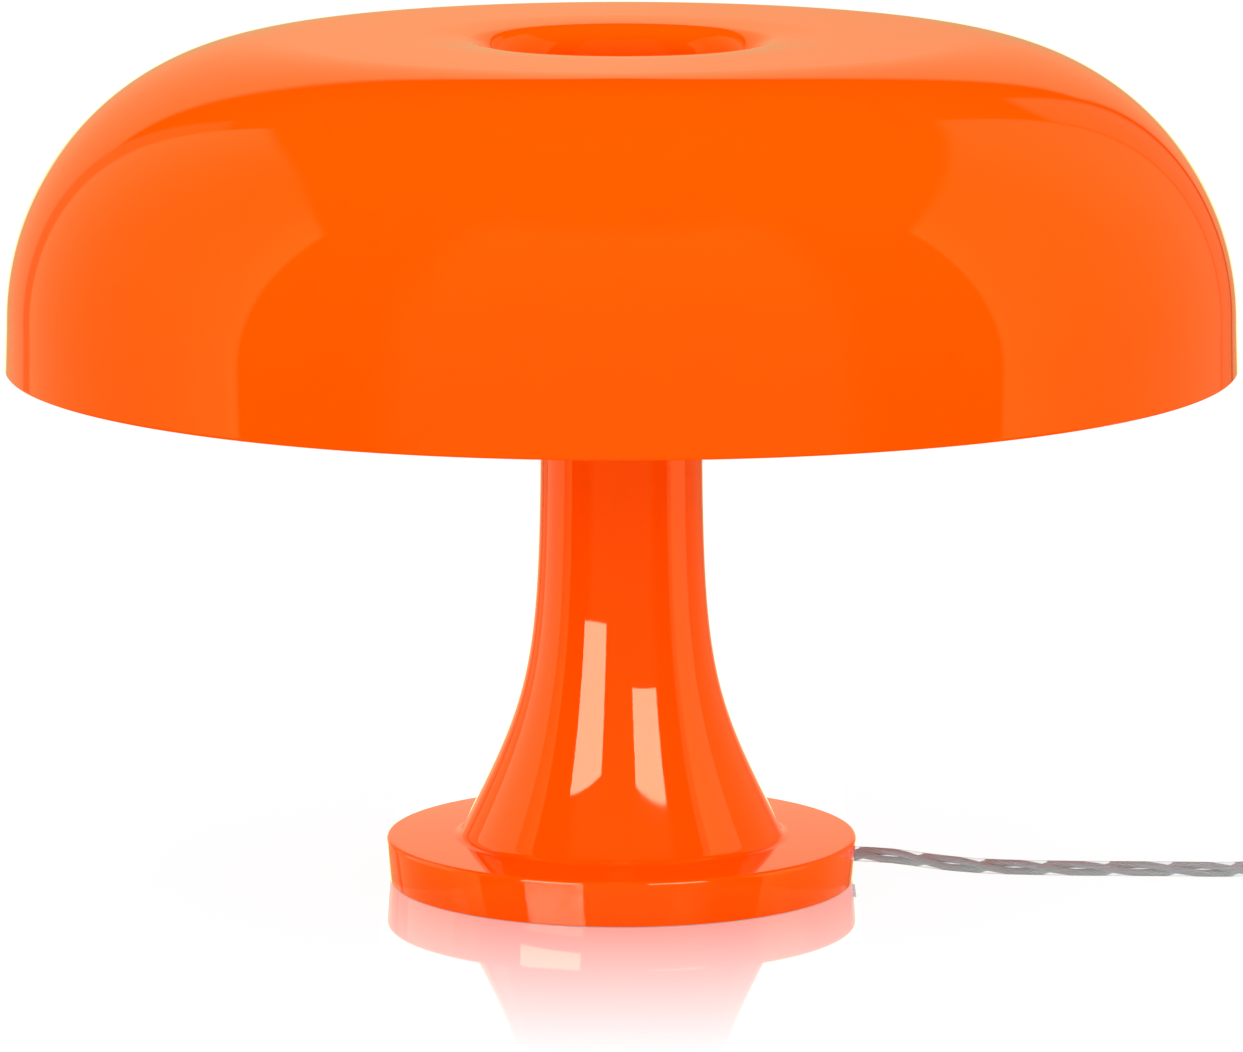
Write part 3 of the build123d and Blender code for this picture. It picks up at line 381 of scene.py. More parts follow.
def worked_metal() -> bpy.types.NodeTree:
    """The group for plated or turned metal: fine streaks along X, and dull spots.

    Returns:
        The group. Its outputs are the colour, the roughness and the height for a Bump node.
    """
    sheet, given, result = start_group(
        "worked_metal",
        {"Colour": (0.6, 0.6, 0.6), "Dull Colour": (0.45, 0.45, 0.45), "Roughness": 0.3, "Spread": 0.2,
         "Streaks": 600.0},
        {"Colour": "Color", "Roughness": "Float", "Height": "Float"},
    )
    place = sheet.node("ShaderNodeTexCoord").outputs["Object"]
    drawn = sheet.node("ShaderNodeMapping", {"Vector": place, "Scale": (0.08, 1.0, 1.0)}).outputs[0]
    streaks = sheet.node("ShaderNodeTexNoise", {"Vector": drawn, "Scale": given.outputs["Streaks"],
                                                "Detail": 3.0}).outputs["Fac"]
    spots = sheet.node("ShaderNodeTexNoise", {"Vector": place, "Scale": 180.0, "Detail": 5.0,
                                              "Roughness": 0.7}).outputs["Fac"]
    dull = sheet.ramp(spots, 0.45, 0.7)
    colour = sheet.blend(dull, given.outputs["Colour"], given.outputs["Dull Colour"])
    rougher = sheet.math("MULTIPLY", dull, given.outputs["Spread"])
    sheet.tree.links.new(colour, result.inputs["Colour"])
    sheet.tree.links.new(sheet.math("ADD", given.outputs["Roughness"], rougher), result.inputs["Roughness"])
    sheet.tree.links.new(streaks, result.inputs["Height"])
    return sheet.tree


def start_material(name: str) -> tuple[bpy.types.Material, NodeSheet]:
    """A new material with an empty tree, and the sheet of that tree."""
    material = bpy.data.materials.new(name)
    material.use_nodes = True
    return material, NodeSheet(material.node_tree)


@dataclass(frozen=True)
class MouldedFinish:
    """A moulded plastic, lacquer or rubber."""

    name: str
    colour: Colour
    worn_colour: Colour
    roughness: float
    spread: float = 0.06
    wave_size: float = 14.0
    wave_depth: float = 0.15
    speck_height: float = 0.05
    speck_size: float = 1400.0
    ior: float = 1.5
    coat: float = 0.0
    subsurface: float = 0.0
    gloss_tint: Colour = (1.0, 1.0, 1.0)

    def material(self) -> bpy.types.Material:
        """Builds the material from the group of moulded skin."""
        material, sheet = start_material(self.name)
        group = bpy.data.node_groups.get("moulded_skin") or moulded_skin()
        skin = sheet.node("ShaderNodeGroup", node_tree=group)
        values = {"Colour": (*self.colour, 1), "Worn Colour": (*self.worn_colour, 1),
                  "Roughness": self.roughness, "Spread": self.spread, "Wave Size": self.wave_size,
                  "Speck Size": self.speck_size, "Speck Height": self.speck_height}
        for label, value in values.items():
            skin.inputs[label].default_value = value
        bump = sheet.node("ShaderNodeBump", {"Strength": self.wave_depth, "Distance": 0.2 * MM,
                                             "Height": skin.outputs["Height"]})
        shader = sheet.node("ShaderNodeBsdfPrincipled", {
            "Base Color": skin.outputs["Colour"], "Roughness": skin.outputs["Roughness"],
            "Normal": bump.outputs[0], "IOR": self.ior, "Coat Weight": self.coat, "Coat Roughness": 0.05,
            "Subsurface Weight": self.subsurface, "Subsurface Scale": 2 * MM,
            "Specular Tint": (*self.gloss_tint, 1)})
        sheet.node("ShaderNodeOutputMaterial", {"Surface": shader.outputs[0]})
        return material


@dataclass(frozen=True)
class MetalFinish:
    """A plated, drawn or turned metal."""

    name: str
    colour: Colour
    dull_colour: Colour
    roughness: float
    spread: float = 0.2
    streaks: float = 600.0
    streak_depth: float = 0.15

    def material(self) -> bpy.types.Material:
        """Builds the material from the group of worked metal."""
        material, sheet = start_material(self.name)
        group = bpy.data.node_groups.get("worked_metal") or worked_metal()
        metal = sheet.node("ShaderNodeGroup", node_tree=group)
        values = {"Colour": (*self.colour, 1), "Dull Colour": (*self.dull_colour, 1),
                  "Roughness": self.roughness, "Spread": self.spread, "Streaks": self.streaks}
        for label, value in values.items():
            metal.inputs[label].default_value = value
        bump = sheet.node("ShaderNodeBump", {"Strength": self.streak_depth, "Distance": 0.05 * MM,
                                             "Height": metal.outputs["Height"]})
        shader = sheet.node("ShaderNodeBsdfPrincipled", {
            "Base Color": metal.outputs["Colour"], "Roughness": metal.outputs["Roughness"],
            "Metallic": 1.0, "Normal": bump.outputs[0]})
        sheet.node("ShaderNodeOutputMaterial", {"Surface": shader.outputs[0]})
        return material


@dataclass(frozen=True)
class ClearFinish:
    """Clear flexible plastic or opal glass, which lets light through."""

    name: str
    colour: Colour
    roughness: float
    transmission: float
    ior: float = 1.45
    haze: float = 0.06
    subsurface: float = 0.0

    def material(self) -> bpy.types.Material:
        """Builds the material, with a faint haze that roughens it in places."""
        material, sheet = start_material(self.name)
        place = sheet.node("ShaderNodeTexCoord").outputs["Object"]
        noise = sheet.node("ShaderNodeTexNoise", {"Vector": place, "Scale": 90.0, "Detail": 4.0})
        rough = sheet.ramp(noise.outputs["Fac"], 0.35, 0.7, self.roughness, self.roughness + self.haze)
        tint = sheet.blend(sheet.ramp(noise.outputs["Fac"], 0.4, 0.8), (*self.colour, 1),
                           (*(0.97 * part for part in self.colour), 1))
        shader = sheet.node("ShaderNodeBsdfPrincipled", {
            "Base Color": tint, "Roughness": rough, "IOR": self.ior,
            "Transmission Weight": self.transmission, "Subsurface Weight": self.subsurface,
            "Subsurface Scale": 4 * MM})
        sheet.node("ShaderNodeOutputMaterial", {"Surface": shader.outputs[0]})
        return material


@dataclass(frozen=True)
class StrandFinish:
    """The tinned wires of one core, laid along it in a slow twist, with painted shade in the grooves between the wires.
    """

    name: str
    colour: Colour = (0.84, 0.85, 0.86)
    # The colour of the painted shade in the grooves between the wires
    groove_shade_colour: Colour = (0.25, 0.253, 0.257)
    wires: float = 7.0
    lay: float = 180.0
    roughness: float = 0.28

    def material(self) -> bpy.types.Material:
        """Builds the material on the strand's own UV map, whose U runs along it in metres."""
        material, sheet = start_material(self.name)
        where = sheet.node("ShaderNodeSeparateXYZ", {0: sheet.node("ShaderNodeUVMap", uv_map="run").outputs[0]})
        along = sheet.math("MULTIPLY", where.outputs[0], self.lay)
        round_it = sheet.math("MULTIPLY", where.outputs[1], self.wires)
        phase = sheet.math("MULTIPLY", sheet.math("ADD", along, round_it), 2 * math.pi)
        ridge = sheet.math("ABSOLUTE", sheet.math("SINE", phase))
        # Painted shade: the grooves between the wires are coloured darker, as if the wires shaded each other there
        colour = sheet.blend(sheet.ramp(ridge, 0.0, 0.6), (*self.groove_shade_colour, 1), (*self.colour, 1))
        bump = sheet.node("ShaderNodeBump", {"Strength": 0.7, "Distance": 0.15 * MM, "Height": ridge})
        shader = sheet.node("ShaderNodeBsdfPrincipled", {
            "Base Color": colour, "Roughness": self.roughness, "Specular IOR Level": 0.2, "Normal": bump.outputs[0]})
        sheet.node("ShaderNodeOutputMaterial", {"Surface": shader.outputs[0]})
        return material


ORANGE_GLOSS = MouldedFinish("glossy_orange", (1.0, 0.078, 0.0), (0.98, 0.075, 0.0), 0.028, 0.025,
                             wave_size=16.0, wave_depth=0.5, speck_height=0.0, gloss_tint=(1.0, 1.0, 0.35))
WHITE_PLASTIC = MouldedFinish("satin_white", (0.66, 0.655, 0.63), (0.6, 0.59, 0.56), 0.3, speck_height=0.12)
IVORY_PLASTIC = MouldedFinish("satin_ivory", (0.62, 0.6, 0.55), (0.55, 0.53, 0.47), 0.36, speck_height=0.3)
BLACK_PLASTIC = MouldedFinish("satin_black", (0.022, 0.022, 0.023), (0.045, 0.045, 0.046), 0.42,
                              0.15, speck_height=0.6)
RUBBER = MouldedFinish("soft_rubber", (0.03, 0.03, 0.031), (0.07, 0.068, 0.065), 0.7, 0.15, speck_height=1.0,
                       speck_size=700.0)
STEEL = MetalFinish("zinc_plated_steel", (0.58, 0.58, 0.57), (0.42, 0.42, 0.41), 0.3)
NICKEL = MetalFinish("bright_nickel", (0.72, 0.7, 0.66), (0.58, 0.56, 0.52), 0.16, 0.14)
BRASS = MetalFinish("turned_brass", (0.72, 0.5, 0.2), (0.5, 0.34, 0.14), 0.28)
OPAL = ClearFinish("opal_diffuser", (0.83, 0.82, 0.79), 0.28, 0.12, haze=0.08, subsurface=0.35)
SHEATH = ClearFinish("clear_sheath", (0.97, 0.98, 0.985), 0.035, 1.0, ior=1.47, haze=0.04)
STRANDS = StrandFinish("tinned_strands")

SLOT_FINISHES = {
    Slot.ORANGE: ORANGE_GLOSS,
    Slot.WHITE: WHITE_PLASTIC,
    Slot.BLACK: BLACK_PLASTIC,
    Slot.STEEL: STEEL,
    Slot.NICKEL: NICKEL,
    Slot.BRASS: BRASS,
    Slot.RUBBER: RUBBER,
    Slot.OPAL: OPAL,
    Slot.CORD: SHEATH,
}

Finish = MouldedFinish | MetalFinish | ClearFinish | StrandFinish


def dress(piece: bpy.types.Object, finish: Finish) -> None:
    """Gives a piece the material of a finish, built the first time that it is asked for."""
    material = bpy.data.materials.get(finish.name) or finish.material()
    piece.data.materials.clear()
    piece.data.materials.append(material)


def hand_over(piece: bpy.types.Object, body: Body, slot: Slot, finish: Finish, *nodes: str) -> bpy.types.Object:
    """Dresses a piece, puts it on its body and says which CAD nodes it stands for.

    Args:
        piece: The finished piece, in its place.
        body: The body it rides on.
        slot: The record's slot for the piece; it is not used.
        finish: Its finish.
        *nodes: The CAD nodes that it replaces.

    Returns:
        The piece.
    """
    dress(piece, finish)
    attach(piece, body.value)
    if nodes:
        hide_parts(*nodes)
    log.info("%s rides on %s for %s", piece.name, body.value, ", ".join(nodes) or "nothing in the CAD")
    return piece


def smooth_copy(node: str, name: str) -> bpy.types.Object:
    """Copies a CAD node whose shape is right, merges its loose triangles and shades it smooth."""
    select_only(frame["nodes"][node])
    bpy.ops.object.duplicate(linked=False)
    piece = name_piece(bpy.context.active_object, name)
    piece.parent = None
    piece.matrix_world = Matrix.Identity(4)
    return smooth(tidy_mesh(piece, 0.001), 24.0)


@dataclass
class Camera:
    """The camera at the photograph's viewing angle."""

    place: Place = (0.0, -2.0, 0.4298)
    tilt: float = 0.166477
    sensor: float = 36.0
    focal_pixels: float = 7769.97
    image_width: float = 1243.0

    def build(self) -> None:
        """Adds the camera and makes it the scene's."""
        bpy.ops.object.camera_add(location=self.place, rotation=(math.pi / 2 - self.tilt, 0, 0))
        camera = bpy.context.active_object
        camera.data.sensor_width = self.sensor
        camera.data.lens = self.focal_pixels * self.sensor / self.image_width
        bpy.context.scene.camera = camera


@dataclass
class Cord:
    """The clear cord from the clamp in the foot to the plug, with its coil and what sits on it."""

    radius: float = 2.0
    exit_azimuth: float = 6.5
    exit_height: float = 5.6
    exit_at: float = 58.0
    length: float = 1.75
    coil_x: float = 306.0
    coil_outer: float = 27.175
    coil_inner: float = 16.825
    coil_base: float = 2.85
    pitch: float = 4.6
    wind_quarters: int = 9
    climb_quarters: int = 2
    layers: int = 4
    points_per_quarter: int = 4
    core_radius: float = 0.78
    core_offset: float = 0.86
    twist: float = 33.0
    tie_width: float = 3.0
    tie_thickness: float = 0.6
    tie_clear: float = 0.25

    def on_exit_ray(self, distance: float) -> Place:
        """A point of the ray on which the cord leaves the foot."""
        turn = math.radians(self.exit_azimuth)
        return distance * math.cos(turn), distance * math.sin(turn), self.exit_height

    def coil_point(self, quarter: float) -> Place:
        """The coil's point after so many quarter turns: it winds in and out, and climbs between layers."""
        layer_quarters = self.wind_quarters + self.climb_quarters
        layer, done = divmod(quarter, layer_quarters)
        sign = -1 if layer % 2 == 0 else 1
        start = self.coil_outer if sign < 0 else self.coil_inner
        radius = start + sign * self.pitch * min(done, self.wind_quarters) / 4
        height = self.coil_base + layer * self.pitch
        climbed = max(0.0, done - self.wind_quarters) / self.climb_quarters
        radius += sign * self.pitch / 8 * math.sin(math.pi * climbed)
        height += self.pitch * (1 - math.cos(math.pi * climbed)) / 2
        # A spline of order 3 runs inside its control points by this share of the radius
        radius /= 0.75 + 0.25 * math.cos(math.pi / 2 / self.points_per_quarter)
        turn = math.pi / 2 * (quarter - 1)
        return (
            self.coil_x + radius * math.cos(turn),
            self.coil_outer + radius * math.sin(turn),
            height,
        )

    def route(self) -> list[Place]:
        """The control points of the whole cord, in millimetres."""
        lead = [
            self.on_exit_ray(31.0), self.on_exit_ray(64.7), (88, 5.8, 2.05), (112, 2.0, 2.05),
            (144, 1.4, 2.05), (169, -0.4, 2.05), (189, 0, 8), (200, 0, 8),
        ]
        in_switch = [(214, 0, 6.2), (244, 0, 6.2)]
        middle = [(258, 0, 8), (268, 0, 8), (286, 0, 2.85), (302, 0, 2.85)]
        last_quarter = self.layers * (self.wind_quarters + self.climb_quarters) - self.climb_quarters
        steps = last_quarter * self.points_per_quarter
        coil = [self.coil_point(step / self.points_per_quarter) for step in range(steps + 1)]
        tail = [(302, 54.35, 16.65), (289, 54.35, 16.65), (265, 54.35, 6.85), (252, 54.35, 6.85)]
        return [*lead, *in_switch, *middle, *coil, *tail]

    def line(self) -> bpy.types.Object:
        """The cord itself: one open spline with those control points, and no bevel yet."""
        curve = bpy.data.curves.new("cord", "CURVE")
        curve.dimensions = "3D"
        points = self.route()
        spline = curve.splines.new("NURBS")
        spline.points.add(len(points) - 1)
        for point, place in zip(spline.points, points):
            point.co = (*(part * MM for part in place), 1)
        spline.order_u = 3
        spline.use_endpoint_u = True
        curve.resolution_u = 6
        cord = bpy.data.objects.new("cord", curve)
        bpy.context.scene.collection.objects.link(cord)
        return cord

    @staticmethod
    def centre_line(cord: bpy.types.Object) -> list[Vector]:
        """The points that the spline runs through, read while it has no bevel."""
        bpy.context.view_layer.update()
        mesh = bpy.data.meshes.new_from_object(cord.evaluated_get(bpy.context.evaluated_depsgraph_get()))
        points = [vertex.co.copy() for vertex in mesh.vertices]
        bpy.data.meshes.remove(mesh)
        return points

    def core(self, name: str, points: Sequence[Vector], phase: float, sides: int = 8) -> bpy.types.Object:
        """One core: a tube that winds round the cord's own line inside its sheath.

        Args:
            name: The piece's name.
            points: The cord's line.
            phase: Where round the line it starts, in radians.
            sides: How many sides its section has.

        Returns:
            The piece, with a UV map whose U runs along it in metres and whose V runs once round it.
        """
        line = resample(points, self.twist / 14 * MM)
        frames = carried_frames(line)
        run = 0.0
        vertices, faces, runs = [], [], []
        for index, (centre, side, up) in enumerate(frames):
            run += (centre - frames[index - 1][0]).length if index else 0.0
            angle = phase + 2 * math.pi * run / (self.twist * MM)
            middle = centre + (side * math.cos(angle) + up * math.sin(angle)) * self.core_offset * MM
            runs.append(run)
            for corner in range(sides):
                way = 2 * math.pi * corner / sides
                vertices.append(middle + (side * math.cos(way) + up * math.sin(way)) * self.core_radius * MM)
        for ring in range(len(frames) - 1):
            for corner in range(sides):
                following = (corner + 1) % sides
                faces.append((ring * sides + corner, ring * sides + following,
                              (ring + 1) * sides + following, (ring + 1) * sides + corner))
        faces.append(tuple(reversed(range(sides))))
        faces.append(tuple(range((len(frames) - 1) * sides, len(frames) * sides)))
        mesh = bpy.data.meshes.new(name)
        mesh.from_pydata(vertices, [], faces)
        layer = mesh.uv_layers.new(name="run")
        for polygon in mesh.polygons:
            for corner, loop in enumerate(polygon.loop_indices):
                ring, side = divmod(mesh.loops[loop].vertex_index, sides)
                wrapped = 1.0 if side == 0 and corner in (1, 2) and len(polygon.loop_indices) == 4 else 0.0
                layer.data[loop].uv = (runs[ring], side / sides + wrapped)
        piece = bpy.data.objects.new(name, mesh)
        bpy.context.scene.collection.objects.link(piece)
        return smooth(piece, 60.0)

    def tie(self) -> bpy.types.Object:
        """A flat wire tie round the bundle of turns, with its twisted ends."""
        low = self.coil_base - self.radius - self.tie_clear
        high = self.coil_base + (self.layers - 1) * self.pitch + self.radius + self.tie_clear
        inside = self.coil_inner - self.pitch / 8 - self.radius - self.tie_clear
        outside = self.coil_outer + self.pitch / 8 + self.radius + self.tie_clear
        bpy.ops.object.select_all(action="DESELECT")
        bpy.ops.mesh.primitive_plane_add(size=1, location=(0, 0, 0), rotation=(math.pi / 2, 0, 0))
        band = name_piece(bpy.context.active_object, "coil_tie_band")
        band.scale = ((outside - inside) * MM, (high - low) * MM, 1)
        settle(band, shift(self.coil_x + (inside + outside) / 2, self.coil_outer - self.tie_width / 2,
                           (low + high) / 2))
        with editing(band):
            bpy.ops.mesh.select_all(action="SELECT")
            bpy.ops.mesh.bevel(offset=self.radius * MM, segments=6, affect="VERTICES")
            bpy.ops.mesh.select_all(action="SELECT")
            bpy.ops.mesh.delete(type="ONLY_FACE")
            bpy.ops.mesh.select_all(action="SELECT")
            bpy.ops.mesh.extrude_edges_move(TRANSFORM_OT_translate={"value": (0, self.tie_width * MM, 0)})
        tidy_mesh(band)
        finish_with(band, "SOLIDIFY", thickness=self.tie_thickness * MM, offset=1.0)
        bpy.ops.object.select_all(action="DESELECT")
        bpy.ops.mesh.primitive_cube_add(size=1, location=(0, 0, 0))
        ends = name_piece(bpy.context.active_object, "tie_ends")
        ends.scale = (9 * MM, self.tie_width * 0.8 * MM, self.tie_thickness * 1.6 * MM)
        settle(ends)
        with editing(ends, "EDGE"):
            pick(ends, "edges", lambda middle, way: abs(way.x) > 0.9)
            bpy.ops.mesh.subdivide(number_cuts=23)
        finish_with(ends, "SIMPLE_DEFORM", deform_method="TWIST", deform_axis="X", angle=math.radians(700))
        settle(ends, shift(self.coil_x + outside + 4.4, self.coil_outer, (low + high) / 2) @ turned(14, "Y"))
        return smooth(join("coil_tie_wire", [band, ends]), 40.0)

    def build(self) -> None:
        cord = self.line()
        points = self.centre_line(cord)
        cord.data.bevel_depth = self.radius * MM
        cord.data.bevel_resolution = 4
        cord.data.use_fill_caps = True
        hand_over(cord, Body.BASE, Slot.CORD, SHEATH, "cord_lead", "cord_middle", "cord_coil", "cord_tail")
        cores = [
            hand_over(self.core(f"cord_strand_{number + 1}", points, number * math.pi), Body.BASE, Slot.CORD,
                      STRANDS)
            for number in range(2)
        ]
        tie = hand_over(self.tie(), Body.BASE, Slot.BLACK, BLACK_PLASTIC, "coil_tie")
        switch = HandSwitch().build()
        plug = Plug().build()


def resample(points: Sequence[Vector], spacing: float) -> list[Vector]:
    """Points at even distances along a line, its ends among them."""
    total = sum((after - before).length for before, after in zip(points, points[1:]))
    count = max(2, round(total / spacing))
    step, gone, line = total / count, 0.0, [points[0].copy()]
    for before, after in zip(points, points[1:]):
        span = (after - before).length
        while len(line) < count and gone + span >= step * len(line):
            line.append(before.lerp(after, (step * len(line) - gone) / span))
        gone += span
    line.append(points[-1].copy())
    return line


def carried_frames(line: Sequence[Vector]) -> list[tuple[Vector, Vector, Vector]]:
    """For each point of a line: the point and two directions across it, carried along without twist."""
    frames = []
    side = Vector((0, 1, 0))
    for index, point in enumerate(line):
        ahead = (line[min(index + 1, len(line) - 1)] - line[max(index - 1, 0)]).normalized()
        side = (side - ahead * side.dot(ahead)).normalized()
        frames.append((point, side, ahead.cross(side)))
    return frames


@dataclass
class HandSwitch:
    """The hand switch on the cord."""

    def build(self) -> list[bpy.types.Object]:
        """Dresses the switch's shells and rocker, and returns the pieces that sit on the cord."""
        shells = [
            hand_over(smooth_copy(node, f"{node}_shell"), Body.BASE, Slot.WHITE, WHITE_PLASTIC, node)
            for node in ("switch_base", "switch_top")
        ]
        rocker = hand_over(smooth_copy("rocker", "rocker_key"), Body.ROCKER, Slot.WHITE, IVORY_PLASTIC, "rocker")
        return [*shells, rocker, frame["nodes"]["switch_screws"]]


@dataclass
class Plug:
    """The flat two-pin plug that lies beside the coil."""

    back_x: float = 236.0
    face_x: float = 200.0
    relief_x: float = 252.0
    across: float = 54.35
    height: float = 6.85
    neck: Point = (12.0, 9.0)
    face: Point = (35.3, 13.7)
    stations: int = 12
    grips: int = 5
    relief_back: float = 3.6
    relief_front: float = 2.7
    relief_ribs: int = 5

    def section(self, share: float) -> Point:
        """The body's width and thickness at this share of its length from the neck."""
        swell = math.sin(share * math.pi / 2)
        return (
            self.neck[0] + (self.face[0] - self.neck[0]) * swell,
            self.neck[1] + (self.face[1] - self.neck[1]) * min(1.0, 1.6 * share),
        )

    def body(self) -> bpy.types.Object:
        """The body: a rounded section drawn out from the neck to the face, with grips on its sides."""
        bpy.ops.object.select_all(action="DESELECT")
        bpy.ops.mesh.primitive_plane_add(size=1, location=(0, 0, 0))
        piece = name_piece(bpy.context.active_object, "plug_shell")
        piece.scale = (self.neck[0] * MM, self.neck[1] * MM, 1)
        settle(piece)
        length = self.back_x - self.face_x
        with editing(piece):
            bpy.ops.mesh.select_all(action="SELECT")
            bpy.ops.mesh.bevel(offset=0.45 * self.neck[1] * MM, segments=8, affect="VERTICES")
            bpy.ops.mesh.select_all(action="SELECT")
            for station in range(1, self.stations + 1):
                before = self.section((station - 1) / self.stations)
                after = self.section(station / self.stations)
                bpy.ops.mesh.extrude_region_move(
                    TRANSFORM_OT_translate={"value": (0, 0, length / self.stations * MM)}
                )
                bpy.ops.transform.resize(
                    value=(after[0] / before[0], after[1] / before[1], 1),
                    center_override=(0, 0, length * station / self.stations * MM),
                )
        tidy_mesh(piece)
        finish_with(piece, "BEVEL", width=0.8 * MM, segments=3, limit_method="ANGLE", angle_limit=math.radians(50))
        settle(piece, shift(self.back_x, self.across, self.height) @ turned(-90, "Y") @ turned(90, "Z"))
        for grip in range(self.grips):
            for side in (-1, 1):
                share = 0.28 + 0.075 * grip
                reach = self.section(share)[0] / 2 + 0.55
                groove = rod("groove", 0.9, 20, shift(self.back_x - share * length,
                                                      self.across + side * reach, self.height - 10), 24)
                carve(piece, groove)
        return piece

    def relief(self) -> bpy.types.Object:
        """The ribbed relief between the plug and the cord."""
        length = self.relief_x - self.back_x
        rib = length / self.relief_ribs
        outline = Outline("plug_relief", (2.05, 0))
        for number in range(self.relief_ribs):
            low, high = number * rib, (number + 0.62) * rib
            outer = self.relief_back + (self.relief_front - self.relief_back) * number / (self.relief_ribs - 1)
            outline.line((outer - 0.25, low), (outer, low + 0.25), (outer, high - 0.25), (outer - 0.25, high))
            outline.line((self.relief_front - 0.25, high), (self.relief_front - 0.25, low + rib))
        outline.line((2.05, length))
        return settle(outline.turn(48), shift(self.back_x, self.across, self.height) @ turned(90, "Y"))

    def build(self) -> list[bpy.types.Object]:
        """Builds the plug and returns the pieces that sit on the cord."""
        body = smooth(join("plug_moulding", [self.body(), self.relief()]), 30.0)
        hand_over(body, Body.BASE, Slot.WHITE, WHITE_PLASTIC, "plug_body")
        sleeves = hand_over(smooth_copy("plug_sleeves", "pin_sleeves"), Body.BASE, Slot.BLACK, BLACK_PLASTIC,
                            "plug_sleeves")
        pins = hand_over(smooth_copy("plug_pins", "contact_pins"), Body.BASE, Slot.NICKEL, NICKEL, "plug_pins")
        return [body, sleeves, pins]


@dataclass
class Foot:
    """The foot and stem moulding, with the bush for the cord and what closes it below."""

    skirt_bottom: float = 0.05
    disc_bottom: float = 1.0
    disc_top: float = 12.0
    bottom_radius: float = 60.8
    top_radius: float = 61.7
    edge_fillet: float = 1.0
    wall: float = 2.6
    foot_radius: float = 42.65
    neck_radius: float = 21.1
    foot_fillet: float = 3.0
    flare_height: float = 124.22
    lean: float = 26.71
    foot_pull: float = 44.35
    neck_pull: float = 81.29
    stem_top: float = 146.0
    top_fillet: float = 1.2
    top_wall: float = 3.0
    bore: float = 5.1
    exit_azimuth: float = 6.5
    exit_height: float = 5.6
    bush_radius: float = 2.9
    bush_bore: float = 2.25
    bush_start: float = 57.2
    screw_circle: float = 51.0
    screw_head: float = 2.9

    def flare(self, inset: float) -> list[Point]:
        """The points of the flare, from its foot to the neck, on the outside or inset by the wall."""
        lean = math.radians(self.lean)
        foot = self.foot_radius - inset / math.cos(lean) + inset * math.tan(lean)
        low, high = self.disc_top - inset, self.disc_top + self.flare_height
        neck = self.neck_radius - inset
        handles = (
            (foot - self.foot_pull * math.sin(lean), low + self.foot_pull * math.cos(lean)),
            (neck, high - self.neck_pull),
        )
        return bezier_points(((foot, low), (neck, high)), handles, 56)

    def moulding(self) -> bpy.types.Object:
        """The moulding: its section spun round the axis, with the hole for the cord's bush."""
        rise = self.disc_top - self.disc_bottom
        side_lean = math.degrees(math.atan((self.top_radius - self.bottom_radius) / rise))
        side_at_edge = self.top_radius - math.tan(math.radians(side_lean)) * self.edge_fillet
        edge_centre = (
            side_at_edge - self.edge_fillet / math.cos(math.radians(side_lean)),
            self.disc_top - self.edge_fillet,
        )
        lean = math.radians(self.lean)
        fillet_out = self.foot_fillet * (1 - math.sin(lean)) / math.cos(lean)
        fillet_centre = (self.foot_radius + fillet_out, self.disc_top + self.foot_fillet)
        tangent_height = fillet_centre[1] - self.foot_fillet * math.sin(lean)
        outer = [point for point in self.flare(0) if point[1] > tangent_height + 0.2]
        inner = self.flare(self.wall)
        top_centre = (self.neck_radius - self.top_fillet, self.stem_top - self.top_fillet)
        outline = Outline("foot_and_stem", (self.bottom_radius - 0.3, self.skirt_bottom))
        outline.arc((self.bottom_radius - 0.3, self.skirt_bottom + 0.3), 0.3, -90, -side_lean, 4)
        outline.arc(edge_centre, self.edge_fillet, -side_lean, 90, 10)
        outline.arc(fillet_centre, self.foot_fillet, -90, -180 + self.lean, 12)
        outline.line(*outer)
        outline.arc(top_centre, self.top_fillet, 0, 90, 8)
        outline.line(
            (self.bore, self.stem_top),
            (self.bore, self.stem_top - self.top_wall),
            (self.neck_radius - self.wall, self.stem_top - self.top_wall),
        )
        outline.line(*reversed(inner))
        inside = self.bottom_radius - self.wall
        outline.line((inside, inner[0][1]), (inside, self.skirt_bottom), (self.bottom_radius - 0.3, self.skirt_bottom))
        piece = outline.turn(256, 38.0)
        hole = rod("hole", self.bush_radius + 0.1, 12, along_ray(self.exit_azimuth, self.bush_start - 2, self.exit_height))
        return smooth(carve(piece, hole), 38.0)

    def bush(self) -> bpy.types.Object:
        """The bush round the cord in the foot's side, with a rounded lip."""
        length = self.bottom_radius - self.bush_start + 0.25
        outline = Outline("cord_bush", (self.bush_bore, 0))
        outline.line((self.bush_radius, 0), (self.bush_radius, length - 0.35))
        outline.arc((self.bush_radius - 0.35, length - 0.35), 0.35, 0, 90, 5)
        outline.arc((self.bush_bore + 0.2, length - 0.2), 0.2, 90, 180, 4)
        outline.line((self.bush_bore, 0))
        return settle(outline.turn(64), along_ray(self.exit_azimuth, self.bush_start, self.exit_height))

    def cover_screws(self) -> bpy.types.Object:
        """The three countersunk screws of the bottom cover, each with a cross recess."""
        outline = Outline("cover_screw", (0, 0))
        outline.line((self.screw_head - 0.1, 0), (self.screw_head, 0.1), (1.45, 1.5), (1.45, 4.6), (1.1, 5), (0, 5))
        screw = outline.turn(48)
        for angle in (0, 90):
            bpy.ops.object.select_all(action="DESELECT")
            bpy.ops.mesh.primitive_cube_add(size=1, location=(0, 0, 0))
            blade = name_piece(bpy.context.active_object, "blade")
            blade.scale = (3.2 * MM, 0.6 * MM, 1.6 * MM)
            carve(screw, settle(blade, turned(angle, "Z")))
        smooth(screw, 30.0)
        screws = [
            twin(screw, "screw", turned(90 + 120 * number, "Z") @ shift(self.screw_circle, 0, self.disc_bottom))
            for number in range(3)
        ]
        bpy.data.objects.remove(screw)
        return join("cover_screw_set", screws)

